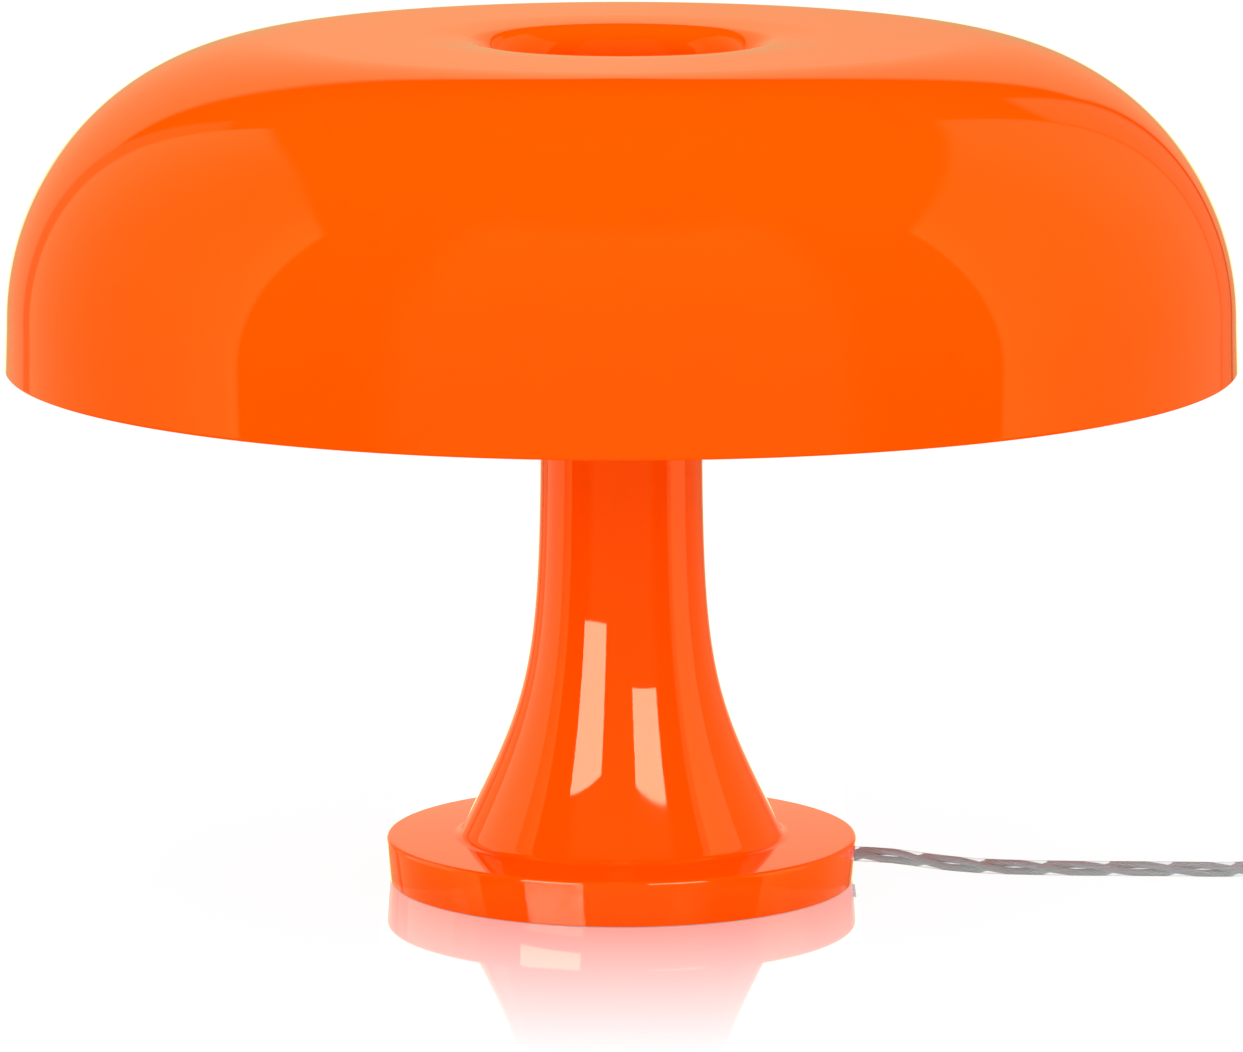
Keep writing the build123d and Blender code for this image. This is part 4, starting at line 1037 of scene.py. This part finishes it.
    def build(self) -> bpy.types.Object:
        """Builds the foot, and returns its moulding, on which the studio's side lights shine."""
        moulding = hand_over(self.moulding(), Body.BASE, Slot.ORANGE, ORANGE_GLOSS, "base_moulding")
        hand_over(self.bush(), Body.BASE, Slot.BLACK, BLACK_PLASTIC, "cord_grommet")
        hand_over(self.cover_screws(), Body.BASE, Slot.STEEL, STEEL, "cover_screws")
        hand_over(smooth_copy("pads", "rubber_feet"), Body.BASE, Slot.RUBBER, RUBBER, "pads")
        return moulding


@dataclass
class Shade:
    """The shade: one shell from the rim over the shoulder, the dip and the lip down into the well."""

    rim_radius: float = 160.0
    rim_height: float = 136.4
    top: float = 222.0
    wall: float = 2.5
    shoulder_radius: float = 73.0
    side_taper: float = 0.5
    dip_radius: float = 57.0
    dip_slope: float = 5.0
    lip_radius: float = 8.5
    well_radius: float = 32.5
    well_taper: float = 1.1
    well_corner: float = 1.5
    floor_top: float = 158.55
    bore: float = 5.3
    rim_fillet: float = 0.8
    knob_radius: float = 14.0
    knob_bottom: float = 158.6
    knob_height: float = 11.5
    knob_edge: float = 1.5
    knob_bore: float = 5.1
    knob_skin: float = 2.6
    flutes: int = 16
    flute_radius: float = 1.3

    def surface(self, depth: float) -> list[Point]:
        """The line of the shade from the shoulder to the hole in the well's floor.

        Args:
            depth: 0 for the glossy outside, or the wall for the inside.

        Returns:
            Its points, from the side to the axis.
        """
        slope, taper = math.radians(self.dip_slope), math.radians(self.well_taper)
        middle = self.rim_radius - self.side_taper - self.shoulder_radius
        lip_start = self.well_radius + self.lip_radius * (math.cos(taper) - math.sin(slope))
        dip_arc = (self.dip_radius - lip_start) / math.sin(slope)
        lip_top = self.top - dip_arc * (1 - math.cos(slope))
        lip_centre = (self.well_radius + self.lip_radius * math.cos(taper), lip_top - self.lip_radius * math.cos(slope))
        well_top = lip_centre[1] + self.lip_radius * math.sin(taper)
        corner_height = self.floor_top + self.well_corner
        wall_there = self.well_radius - (well_top - corner_height) * math.tan(taper)
        corner_centre = (wall_there - self.well_corner / math.cos(taper), corner_height)
        return [
            *arc_points((middle, self.top - self.shoulder_radius), self.shoulder_radius - depth, 0, 90, 60),
            ((middle + self.dip_radius) / 2, self.top - depth),
            *arc_points((self.dip_radius, self.top - dip_arc), dip_arc - depth, 90, 90 + self.dip_slope, 8),
            *arc_points(lip_centre, self.lip_radius - depth, 90 + self.dip_slope, 180 - self.well_taper, 24),
            *arc_points(corner_centre, self.well_corner + depth, -self.well_taper, -90, 8),
            (self.bore, self.floor_top - depth),
        ]

    def shell(self) -> bpy.types.Object:
        """The shell, spun from its closed section."""
        fillet, low = self.rim_fillet, self.rim_height + self.rim_fillet
        outline = Outline("shade_shell", (self.rim_radius - fillet, self.rim_height))
        outline.arc((self.rim_radius - fillet, low), fillet, -90, 0, 8)
        outline.line(*self.surface(0))
        outline.line(*reversed(self.surface(self.wall)))
        outline.arc((self.rim_radius - self.wall + fillet, low), fillet, -180, -90, 8)
        outline.line((self.rim_radius - fillet, self.rim_height))
        return outline.turn(288, 38.0)

    def knob(self) -> bpy.types.Object:
        """The screw cap in the well: a turned knob with flutes for the fingers."""
        edge = self.knob_edge
        outline = Outline("knob", (0, self.knob_height))
        outline.line((self.knob_radius - edge - 3, self.knob_height))
        outline.arc((self.knob_radius - edge, self.knob_height - edge), edge, 90, 0, 8)
        outline.line((self.knob_radius, 0.3), (self.knob_radius - 0.3, 0), (self.knob_bore, 0))
        outline.line((self.knob_bore, self.knob_height - self.knob_skin), (0, self.knob_height - self.knob_skin))
        piece = outline.turn(192)
        for flute in range(self.flutes):
            where = turned(360 / self.flutes * flute, "Z") @ shift(self.knob_radius + self.flute_radius / 2, 0, -1)
            carve(piece, rod("flute", self.flute_radius, self.knob_height + 2, where, 20))
        finish_with(piece, "BEVEL", width=0.25 * MM, segments=2, limit_method="ANGLE", angle_limit=math.radians(40))
        return smooth(settle(piece, shift(0, 0, self.knob_bottom)), 34.0)

    def build(self) -> None:
        """Builds the shade and its screw cap."""
        hand_over(self.shell(), Body.SHADE, Slot.ORANGE, ORANGE_GLOSS, "shade", "shade_well")
        hand_over(self.knob(), Body.CAP, Slot.ORANGE, ORANGE_GLOSS, "shade_cap")


@dataclass
class Lamps:
    """The four lampholders and bulbs, each modelled once along Z and copied to its ray."""

    height: float = 168.0
    start: float = 40.0
    holder_radius: float = 12.0
    holder_mouth: float = 36.0
    holder_bore: float = 9.6
    sleeve_bore: float = 7.8
    cap_start: float = 10.4
    cap_end: float = 28.0
    cap_radius: float = 6.9
    contact_radius: float = 2.4
    contact_tip: float = 8.4
    threads: int = 7
    housing_radius: float = 9.2
    housing_neck: float = 36.4
    housing_end: float = 50.0
    globe_radius: float = 22.5
    globe_middle: float = 62.2
    globe_wall: float = 1.2

    def holder(self) -> bpy.types.Object:
        """A lampholder, with a stepped back, three grooves and a rounded mouth."""
        outer = self.holder_radius
        outline = Outline("holder", (0, 0))
        outline.line((outer - 1.5, 0), (outer, 1.5), (outer, 8), (outer - 0.5, 8.5))
        for groove in range(3):
            low = 20 + groove * 3.4
            outline.line((outer - 0.5, low), (outer, low + 0.4), (outer, low + 2.2), (outer - 0.5, low + 2.6))
        outline.line((outer - 0.5, self.holder_mouth - 3), (outer, self.holder_mouth - 2.5))
        outline.arc((outer - 0.8, self.holder_mouth - 0.8), 0.8, 0, 90, 5)
        outline.line((self.holder_bore + 0.4, self.holder_mouth), (self.holder_bore, self.holder_mouth - 0.4),
                     (self.holder_bore, 10), (self.sleeve_bore, 10), (self.sleeve_bore, 6), (0, 6))
        return outline.turn(72)

    def cap(self) -> bpy.types.Object:
        """A bulb's screw cap: its contact, insulator and rounded thread."""
        ring = (self.cap_end - self.cap_start - 1.2) / self.threads
        outline = Outline("screw_shell", (0, self.contact_tip))
        outline.arc((self.contact_radius - 1, self.contact_tip + 1), 1.0, -90, 0, 4)
        outline.line((self.contact_radius, self.contact_tip + 1.3), (self.contact_radius + 2, self.cap_start))
        outline.line((self.cap_radius - 0.6, self.cap_start + 0.8))
        for thread in range(self.threads):
            low = self.cap_start + 1.0 + thread * ring
            for step in range(6):
                bulge = 0.6 * (1 - math.cos(2 * math.pi * step / 6)) / 2
                outline.line((self.cap_radius - 0.6 + bulge, low + ring * step / 6))
        outline.line((self.cap_radius - 0.6, self.cap_end), (0, self.cap_end))
        return outline.turn(64, 60.0)

    def housing(self) -> bpy.types.Object:
        """The opaque cone of a bulb, with a fine step where the globe sits in it."""
        reach = math.sqrt(self.globe_radius**2 - (self.globe_middle - self.housing_end) ** 2)
        run, rise = self.housing_end - self.housing_neck, reach - self.housing_radius
        arc = (run**2 + rise**2) / (2 * rise)
        stop = math.degrees(math.atan2(run, rise - arc))
        outline = Outline("bulb_cone", (0, self.cap_end))
        outline.line((self.housing_radius - 0.4, self.cap_end), (self.housing_radius, self.cap_end + 0.4))
        outline.arc((self.housing_radius + arc, self.housing_neck), arc, 180, stop, 20)
        outline.line((reach - 0.25, self.housing_end + 0.1), (0, self.housing_end + 0.1))
        return outline.turn(96)

    def globe(self) -> bpy.types.Object:
        """The hollow globe of a bulb."""
        inner = self.globe_radius - self.globe_wall
        depth = self.housing_end - self.globe_middle
        outer_stop = math.degrees(math.asin(depth / self.globe_radius))
        inner_stop = math.degrees(math.asin(depth / inner))
        outline = Outline("bulb_glass", (0, self.globe_middle + self.globe_radius))
        outline.arc((0, self.globe_middle), self.globe_radius, 90, outer_stop, 40)
        outline.arc((0, self.globe_middle), inner, inner_stop, 90, 30)
        return outline.turn(96, 50.0)

    def build(self) -> None:
        """Builds the four holders and bulbs."""
        kinds = (
            ("lampholder_{}", "holder_{}_shell", self.holder(), Slot.WHITE, WHITE_PLASTIC, False),
            ("bulb_{}_cap", "bulb_{}_screw", self.cap(), Slot.NICKEL, NICKEL, True),
            ("bulb_{}_housing", "bulb_{}_cone", self.housing(), Slot.WHITE, IVORY_PLASTIC, True),
            ("bulb_{}_globe", "bulb_{}_glass", self.globe(), Slot.OPAL, OPAL, True),
        )
        for node, name, piece, slot, finish, moves in kinds:
            for number in range(1, 5):
                ray = along_ray(90 * (number - 1), self.start, self.height)
                body = Body(f"bulb_{number}") if moves else Body.BASE
                hand_over(twin(piece, name.format(number), ray), body, slot, finish, node.format(number))
            bpy.data.objects.remove(piece)


@dataclass(frozen=True)
class Card:
    """A soft card round the lamp, seen only in its gloss: from one azimuth to another, as high as its top.

    Azimuths are in degrees from the far side, positive to the right. The top's middle is higher than its
    ends by the rise, and the card is brighter at its ends than in its middle.
    """

    start: float
    stop: float
    top: float
    rise: float
    middle_shine: float
    start_shine: float
    stop_shine: float
    edge: float = 0.7

    def shine(self, sheet: NodeSheet, azimuth: bpy.types.NodeSocket,
              height: bpy.types.NodeSocket) -> bpy.types.NodeSocket:
        """Adds the card to the world's nodes.

        Args:
            sheet: The world's sheet.
            azimuth: The direction's azimuth in degrees.
            height: Its height above the table in degrees.

        Returns:
            The card's radiance in that direction, 0 outside it.
        """
        middle, half = (self.start + self.stop) / 2, (self.stop - self.start) / 2
        across = sheet.math("DIVIDE", sheet.math("SUBTRACT", azimuth, middle), half)
        squared = sheet.math("MULTIPLY", across, across)
        cubed = sheet.math("MULTIPLY", squared, across)
        even = (self.start_shine + self.stop_shine) / 2 - self.middle_shine
        odd = (self.stop_shine - self.start_shine) / 2
        level = sheet.math("MULTIPLY_ADD", squared, even, self.middle_shine)
        level = sheet.math("MULTIPLY_ADD", cubed, odd, level)
        rim = sheet.math("MULTIPLY_ADD", squared, -self.rise, self.top)
        below = sheet.ramp(sheet.math("SUBTRACT", height, rim), -2 * self.edge, 2 * self.edge, 1, 0)
        inside = sheet.math("MULTIPLY", sheet.ramp(azimuth, self.start - self.edge, self.start + self.edge),
                            sheet.ramp(azimuth, self.stop - self.edge, self.stop + self.edge, 1, 0))
        above = sheet.ramp(height, FLOOR_FADE[0], FLOOR_FADE[1])
        inside = sheet.math("MULTIPLY", inside, above)
        return sheet.math("MULTIPLY", level, sheet.math("MULTIPLY", inside, below))


FLOOR_FADE = (-34.0, -14.0)
CARDS = (
    Card(-105.5, -36.5, 52.0, 8.0, 0.33, 0.95, 0.55),
    Card(-32.0, 0.0, 31.0, 11.0, 0.48, 0.42, 0.52),
    Card(0.0, 19.5, 27.0, 7.0, 0.45, 0.5, 0.38),
    Card(21.0, 30.5, 32.0, 1.0, 0.26, 0.26, 0.26),
    Card(31.0, 106.0, 52.0, 6.0, 0.36, 0.3, 0.8),
    Card(-36.5, -32.0, 38.0, 0.0, 0.2, 0.2, 0.2),
    Card(-12.0, 12.0, -2.2, 0.0, 0.9, 0.8, 0.8, 0.8),
)


@dataclass
class Studio:
    """The floor, the plain soft light and the surroundings that the gloss shows."""

    mirror: float = 0.67
    mirror_start: float = 61.0
    mirror_end: float = 202.0
    mirror_in_gloss: float = 0.25
    mirror_half_width: float = 60.9
    shadow_share: float = 0.06
    ambient: float = 0.8
    ambient_aside: float = 1.4
    top_light: float = 0.62
    stem_light: float = 0.3
    card_colour: Colour = (1.0, 0.98, 0.5)
    room_shine: float = 0.3
    room_start: float = 130.0
    room_height: float = 62.0
    window_radiance: float = 17.5
    low_window_radiance: float = 48.0
    window_colour: Colour = (0.5, 0.53, 1.0)
    window_distance: float = 1.5
    window_eye: float = 40.0

    def world(self) -> None:
        """White for the camera and through clear pieces, even light, and soft cards in the gloss."""
        world = bpy.data.worlds.new("studio")
        bpy.context.scene.world = world
        world.use_nodes = True
        world.cycles.sampling_method = "NONE"
        sheet = NodeSheet(world.node_tree)
        way = sheet.node("ShaderNodeSeparateXYZ", {0: sheet.node("ShaderNodeTexCoord").outputs["Generated"]})
        height = sheet.math("DEGREES", sheet.math("ARCSINE", way.outputs[2]))
        signed = sheet.math("DEGREES", sheet.math("ARCTAN2", way.outputs[0], way.outputs[1]))
        cards: bpy.types.NodeSocket | float = 0.0
        for card in CARDS:
            cards = sheet.math("ADD", cards, card.shine(sheet, signed, height))
        room = sheet.math(
            "MULTIPLY",
            sheet.ramp(sheet.math("ABSOLUTE", signed), self.room_start, self.room_start + 14, 0, self.room_shine),
            sheet.ramp(height, self.room_height - 6, self.room_height + 6, 1, 0),
        )
        cards = sheet.math("ADD", cards, room)
        aside = sheet.math("MULTIPLY", way.outputs[0], way.outputs[0])
        ambient = sheet.math("MULTIPLY_ADD", aside, self.ambient_aside, self.ambient)
        path = sheet.node("ShaderNodeLightPath")
        through = sheet.math("MINIMUM", path.outputs["Transmission Depth"], 1.0)
        seen = sheet.math("MAXIMUM", path.outputs["Is Camera Ray"], through)
        lit = sheet.node("ShaderNodeMix", {0: path.outputs["Is Glossy Ray"], 2: ambient, 3: cards}).outputs[0]
        strength = sheet.node("ShaderNodeMix", {0: seen, 2: lit, 3: 1.0}).outputs[0]
        tinted = sheet.math("SUBTRACT", path.outputs["Is Glossy Ray"], through)
        colour = sheet.blend(tinted, (1, 1, 1, 1), (*self.card_colour, 1))
        shown = sheet.node("ShaderNodeBackground", {"Color": colour, "Strength": strength})
        sheet.node("ShaderNodeOutputWorld", {"Surface": shown.outputs[0]})

    def floor(self) -> bpy.types.Object:
        """A white floor with a polish that fades away from the foot, and a faint shadow of the lamp."""
        bpy.ops.object.select_all(action="DESELECT")
        bpy.ops.mesh.primitive_plane_add(size=12, location=(0, 0, 0))
        floor = name_piece(bpy.context.active_object, "floor")
        material, sheet = start_material("white_floor")
        place = sheet.node("ShaderNodeTexCoord").outputs["Object"]
        distance = sheet.node("ShaderNodeVectorMath", {0: place}, operation="LENGTH").outputs["Value"]
        fade = sheet.node("ShaderNodeMapRange", {0: distance, 1: self.mirror_start * MM, 2: self.mirror_end * MM,
                                                 3: self.mirror, 4: 0.0}).outputs[0]
        facing = sheet.node("ShaderNodeLayerWeight", {"Blend": 0.5}).outputs["Facing"]
        grazing = sheet.ramp(facing, 0.1, 0.76)
        aside = sheet.math("ABSOLUTE", sheet.node("ShaderNodeSeparateXYZ", {0: place}).outputs[0])
        within = sheet.ramp(aside, self.mirror_half_width * MM, (self.mirror_half_width + 0.3) * MM, 1, 0)
        polish = sheet.math("MULTIPLY", sheet.math("MULTIPLY", fade, grazing), within)
        path = sheet.node("ShaderNodeLightPath")
        matt = sheet.node("ShaderNodeBsdfDiffuse", {"Color": (0.86, 0.86, 0.86, 1)})
        glow = sheet.node("ShaderNodeEmission", {"Strength": 1.015})
        seen = sheet.node("ShaderNodeMixShader", {0: self.shadow_share, 1: glow.outputs[0], 2: matt.outputs[0]})
        gloss = sheet.node("ShaderNodeBsdfGlossy", {"Color": (1, 1, 1, 1), "Roughness": 0.04})
        polished = sheet.node("ShaderNodeMixShader", {0: polish, 1: seen.outputs[0], 2: gloss.outputs[0]})
        dim = sheet.node("ShaderNodeBsdfTransparent")
        share = sheet.math("MULTIPLY", polish, self.mirror_in_gloss)
        in_gloss = sheet.node("ShaderNodeMixShader", {0: share, 1: dim.outputs[0], 2: gloss.outputs[0]})
        lit = sheet.node("ShaderNodeMixShader", {0: path.outputs["Is Glossy Ray"], 1: matt.outputs[0],
                                                 2: in_gloss.outputs[0]})
        shown = sheet.math("MAXIMUM", path.outputs["Is Camera Ray"], path.outputs["Is Transmission Ray"])
        above = sheet.node("ShaderNodeMixShader", {0: shown, 1: lit.outputs[0], 2: polished.outputs[0]})
        below = sheet.node("ShaderNodeBsdfTransparent")
        back = sheet.node("ShaderNodeNewGeometry").outputs["Backfacing"]
        surface = sheet.node("ShaderNodeMixShader", {0: back, 1: above.outputs[0], 2: below.outputs[0]})
        sheet.node("ShaderNodeOutputMaterial", {"Surface": surface.outputs[0]})
        floor.data.materials.append(material)
        return floor

    @staticmethod
    def panel(name: str, azimuth: float, height: float, distance: float, size: Point, radiance: float,
              target: Place = (0, 0, 0.06)) -> bpy.types.Object:
        """A rectangular light that faces the lamp.

        Args:
            name: The light's name.
            azimuth: Degrees to the right of the camera's side, seen from the lamp.
            height: Degrees above the table.
            distance: Metres from the target.
            size: Width and height in metres.
            radiance: How bright its surface is, where 1 is white.
            target: The point that it faces.

        Returns:
            The light.
        """
        turn, rise = math.radians(azimuth), math.radians(height)
        way = Vector((math.sin(turn) * math.cos(rise), -math.cos(turn) * math.cos(rise), math.sin(rise)))
        bpy.ops.object.light_add(type="AREA", location=Vector(target) + way * distance)
        light = bpy.context.active_object
        light.name = name
        light.rotation_euler = way.to_track_quat("Z", "Y").to_euler()
        light.data.shape = "RECTANGLE"
        light.data.size, light.data.size_y = size
        light.data.energy = radiance * math.pi * size[0] * size[1]
        light.visible_camera = False
        return light

    def window(self, name: str, azimuth: float, width: float, heights: Point, radiance: float,
               receivers: bpy.types.Collection, tilt: float = 0.0) -> bpy.types.Object:
        """An upright window of light that shows in the gloss of its receivers only.

        Args:
            name: The light's name.
            azimuth: Degrees to the right of the camera's side.
            width: How many degrees wide it is.
            heights: Degrees above the table of its sill and of its top.
            radiance: How bright it is, where 1 is white.
            receivers: The pieces that it shows in.
            tilt: Degrees that its right end is higher than its left one.

        Returns:
            The light.
        """
        distance = self.window_distance
        low, high = (self.window_eye * MM + distance * math.tan(math.radians(angle)) for angle in heights)
        across = 2 * distance * math.tan(math.radians(width / 2))
        light = self.panel(name, azimuth, 0, distance, (across, high - low), radiance, (0, 0, (low + high) / 2))
        light.data.color = self.window_colour
        light.rotation_euler.rotate_axis("Z", math.radians(tilt))
        light.light_linking.receiver_collection = receivers
        return light

    def lights(self, floor: bpy.types.Object, moulding: bpy.types.Object) -> None:
        """The soft light above, the two windows in the gloss of the stem, and white round the floor."""
        top = self.panel("soft_top", 0, 78, 1.7, (1.5, 1.5), self.top_light * math.pi * 1.7**2 / 1.5**2,
                         (0, 0, 0.15))
        top.visible_glossy = False
        stem = bpy.data.collections.new("on_the_stem")
        stem.objects.link(moulding)
        for azimuth in (-60, 60, 180):
            fill = self.panel(f"stem_fill_{azimuth}", azimuth, 27, 2.2, (1.2, 1.0),
                              self.stem_light * math.pi * 2.2**2 / 1.2)
            fill.visible_glossy = False
            fill.light_linking.receiver_collection = stem
        surround = bpy.data.collections.new("in_the_floor")
        surround.objects.link(floor)
        panels = [
            self.window("window_left", -34.8, 29.5, (0.8, 35.0), self.window_radiance, stem, 2),
            self.window("window_right", 27.8, 28.8, (13.1, 36.9), self.window_radiance, stem, -2.5),
            self.window("window_left_low", -33.3, 29.5, (2.0, 36.5), self.low_window_radiance, surround),
        ]
        for number in range(6):
            panel = self.panel(f"surround_{number + 1}", 60 * number, 30, 3.4, (4.2, 4.0), 1.0, (0, 0, 0))
            panel.light_linking.receiver_collection = surround
            panels.append(panel)
        for azimuth, width, radiance in ((180, 50, 0.25), (-108, 40, 0.8), (84, 34, 0.7)):
            panels.append(self.window(f"stem_shine_{azimuth}", azimuth, width, (-14, 40), radiance, stem))
            panels[-1].data.color = (1.0, 0.97, 0.8)
        for panel in panels:
            panel.visible_diffuse = False
            panel.visible_transmission = False

    def build(self, moulding: bpy.types.Object) -> None:
        """Builds the surroundings, the floor and the lights, and sets the view to plain colours."""
        bpy.context.scene.view_settings.view_transform = "Standard"
        self.world()
        self.lights(self.floor(), moulding)


def dress_frame() -> None:
    """Gives every CAD node the finish of its slot in the record."""
    slots = {part["node"]: part["material_slot"] for part in frame["record"]["subparts"]}
    for name, node in frame["nodes"].items():
        dress(node, SLOT_FINISHES[Slot(slots[name])])
    log.info("dressed %d CAD nodes", len(frame["nodes"]))


def main() -> None:
    """Builds the camera and the cord first, then the lamp, then the studio."""
    logging.basicConfig(level=logging.INFO, format="%(name)s: %(message)s")
    dress_frame()
    Camera().build()
    Cord().build()
    moulding = Foot().build()
    Shade().build()
    Lamps().build()
    Studio().build(moulding)


if __name__ == "__main__":
    main()
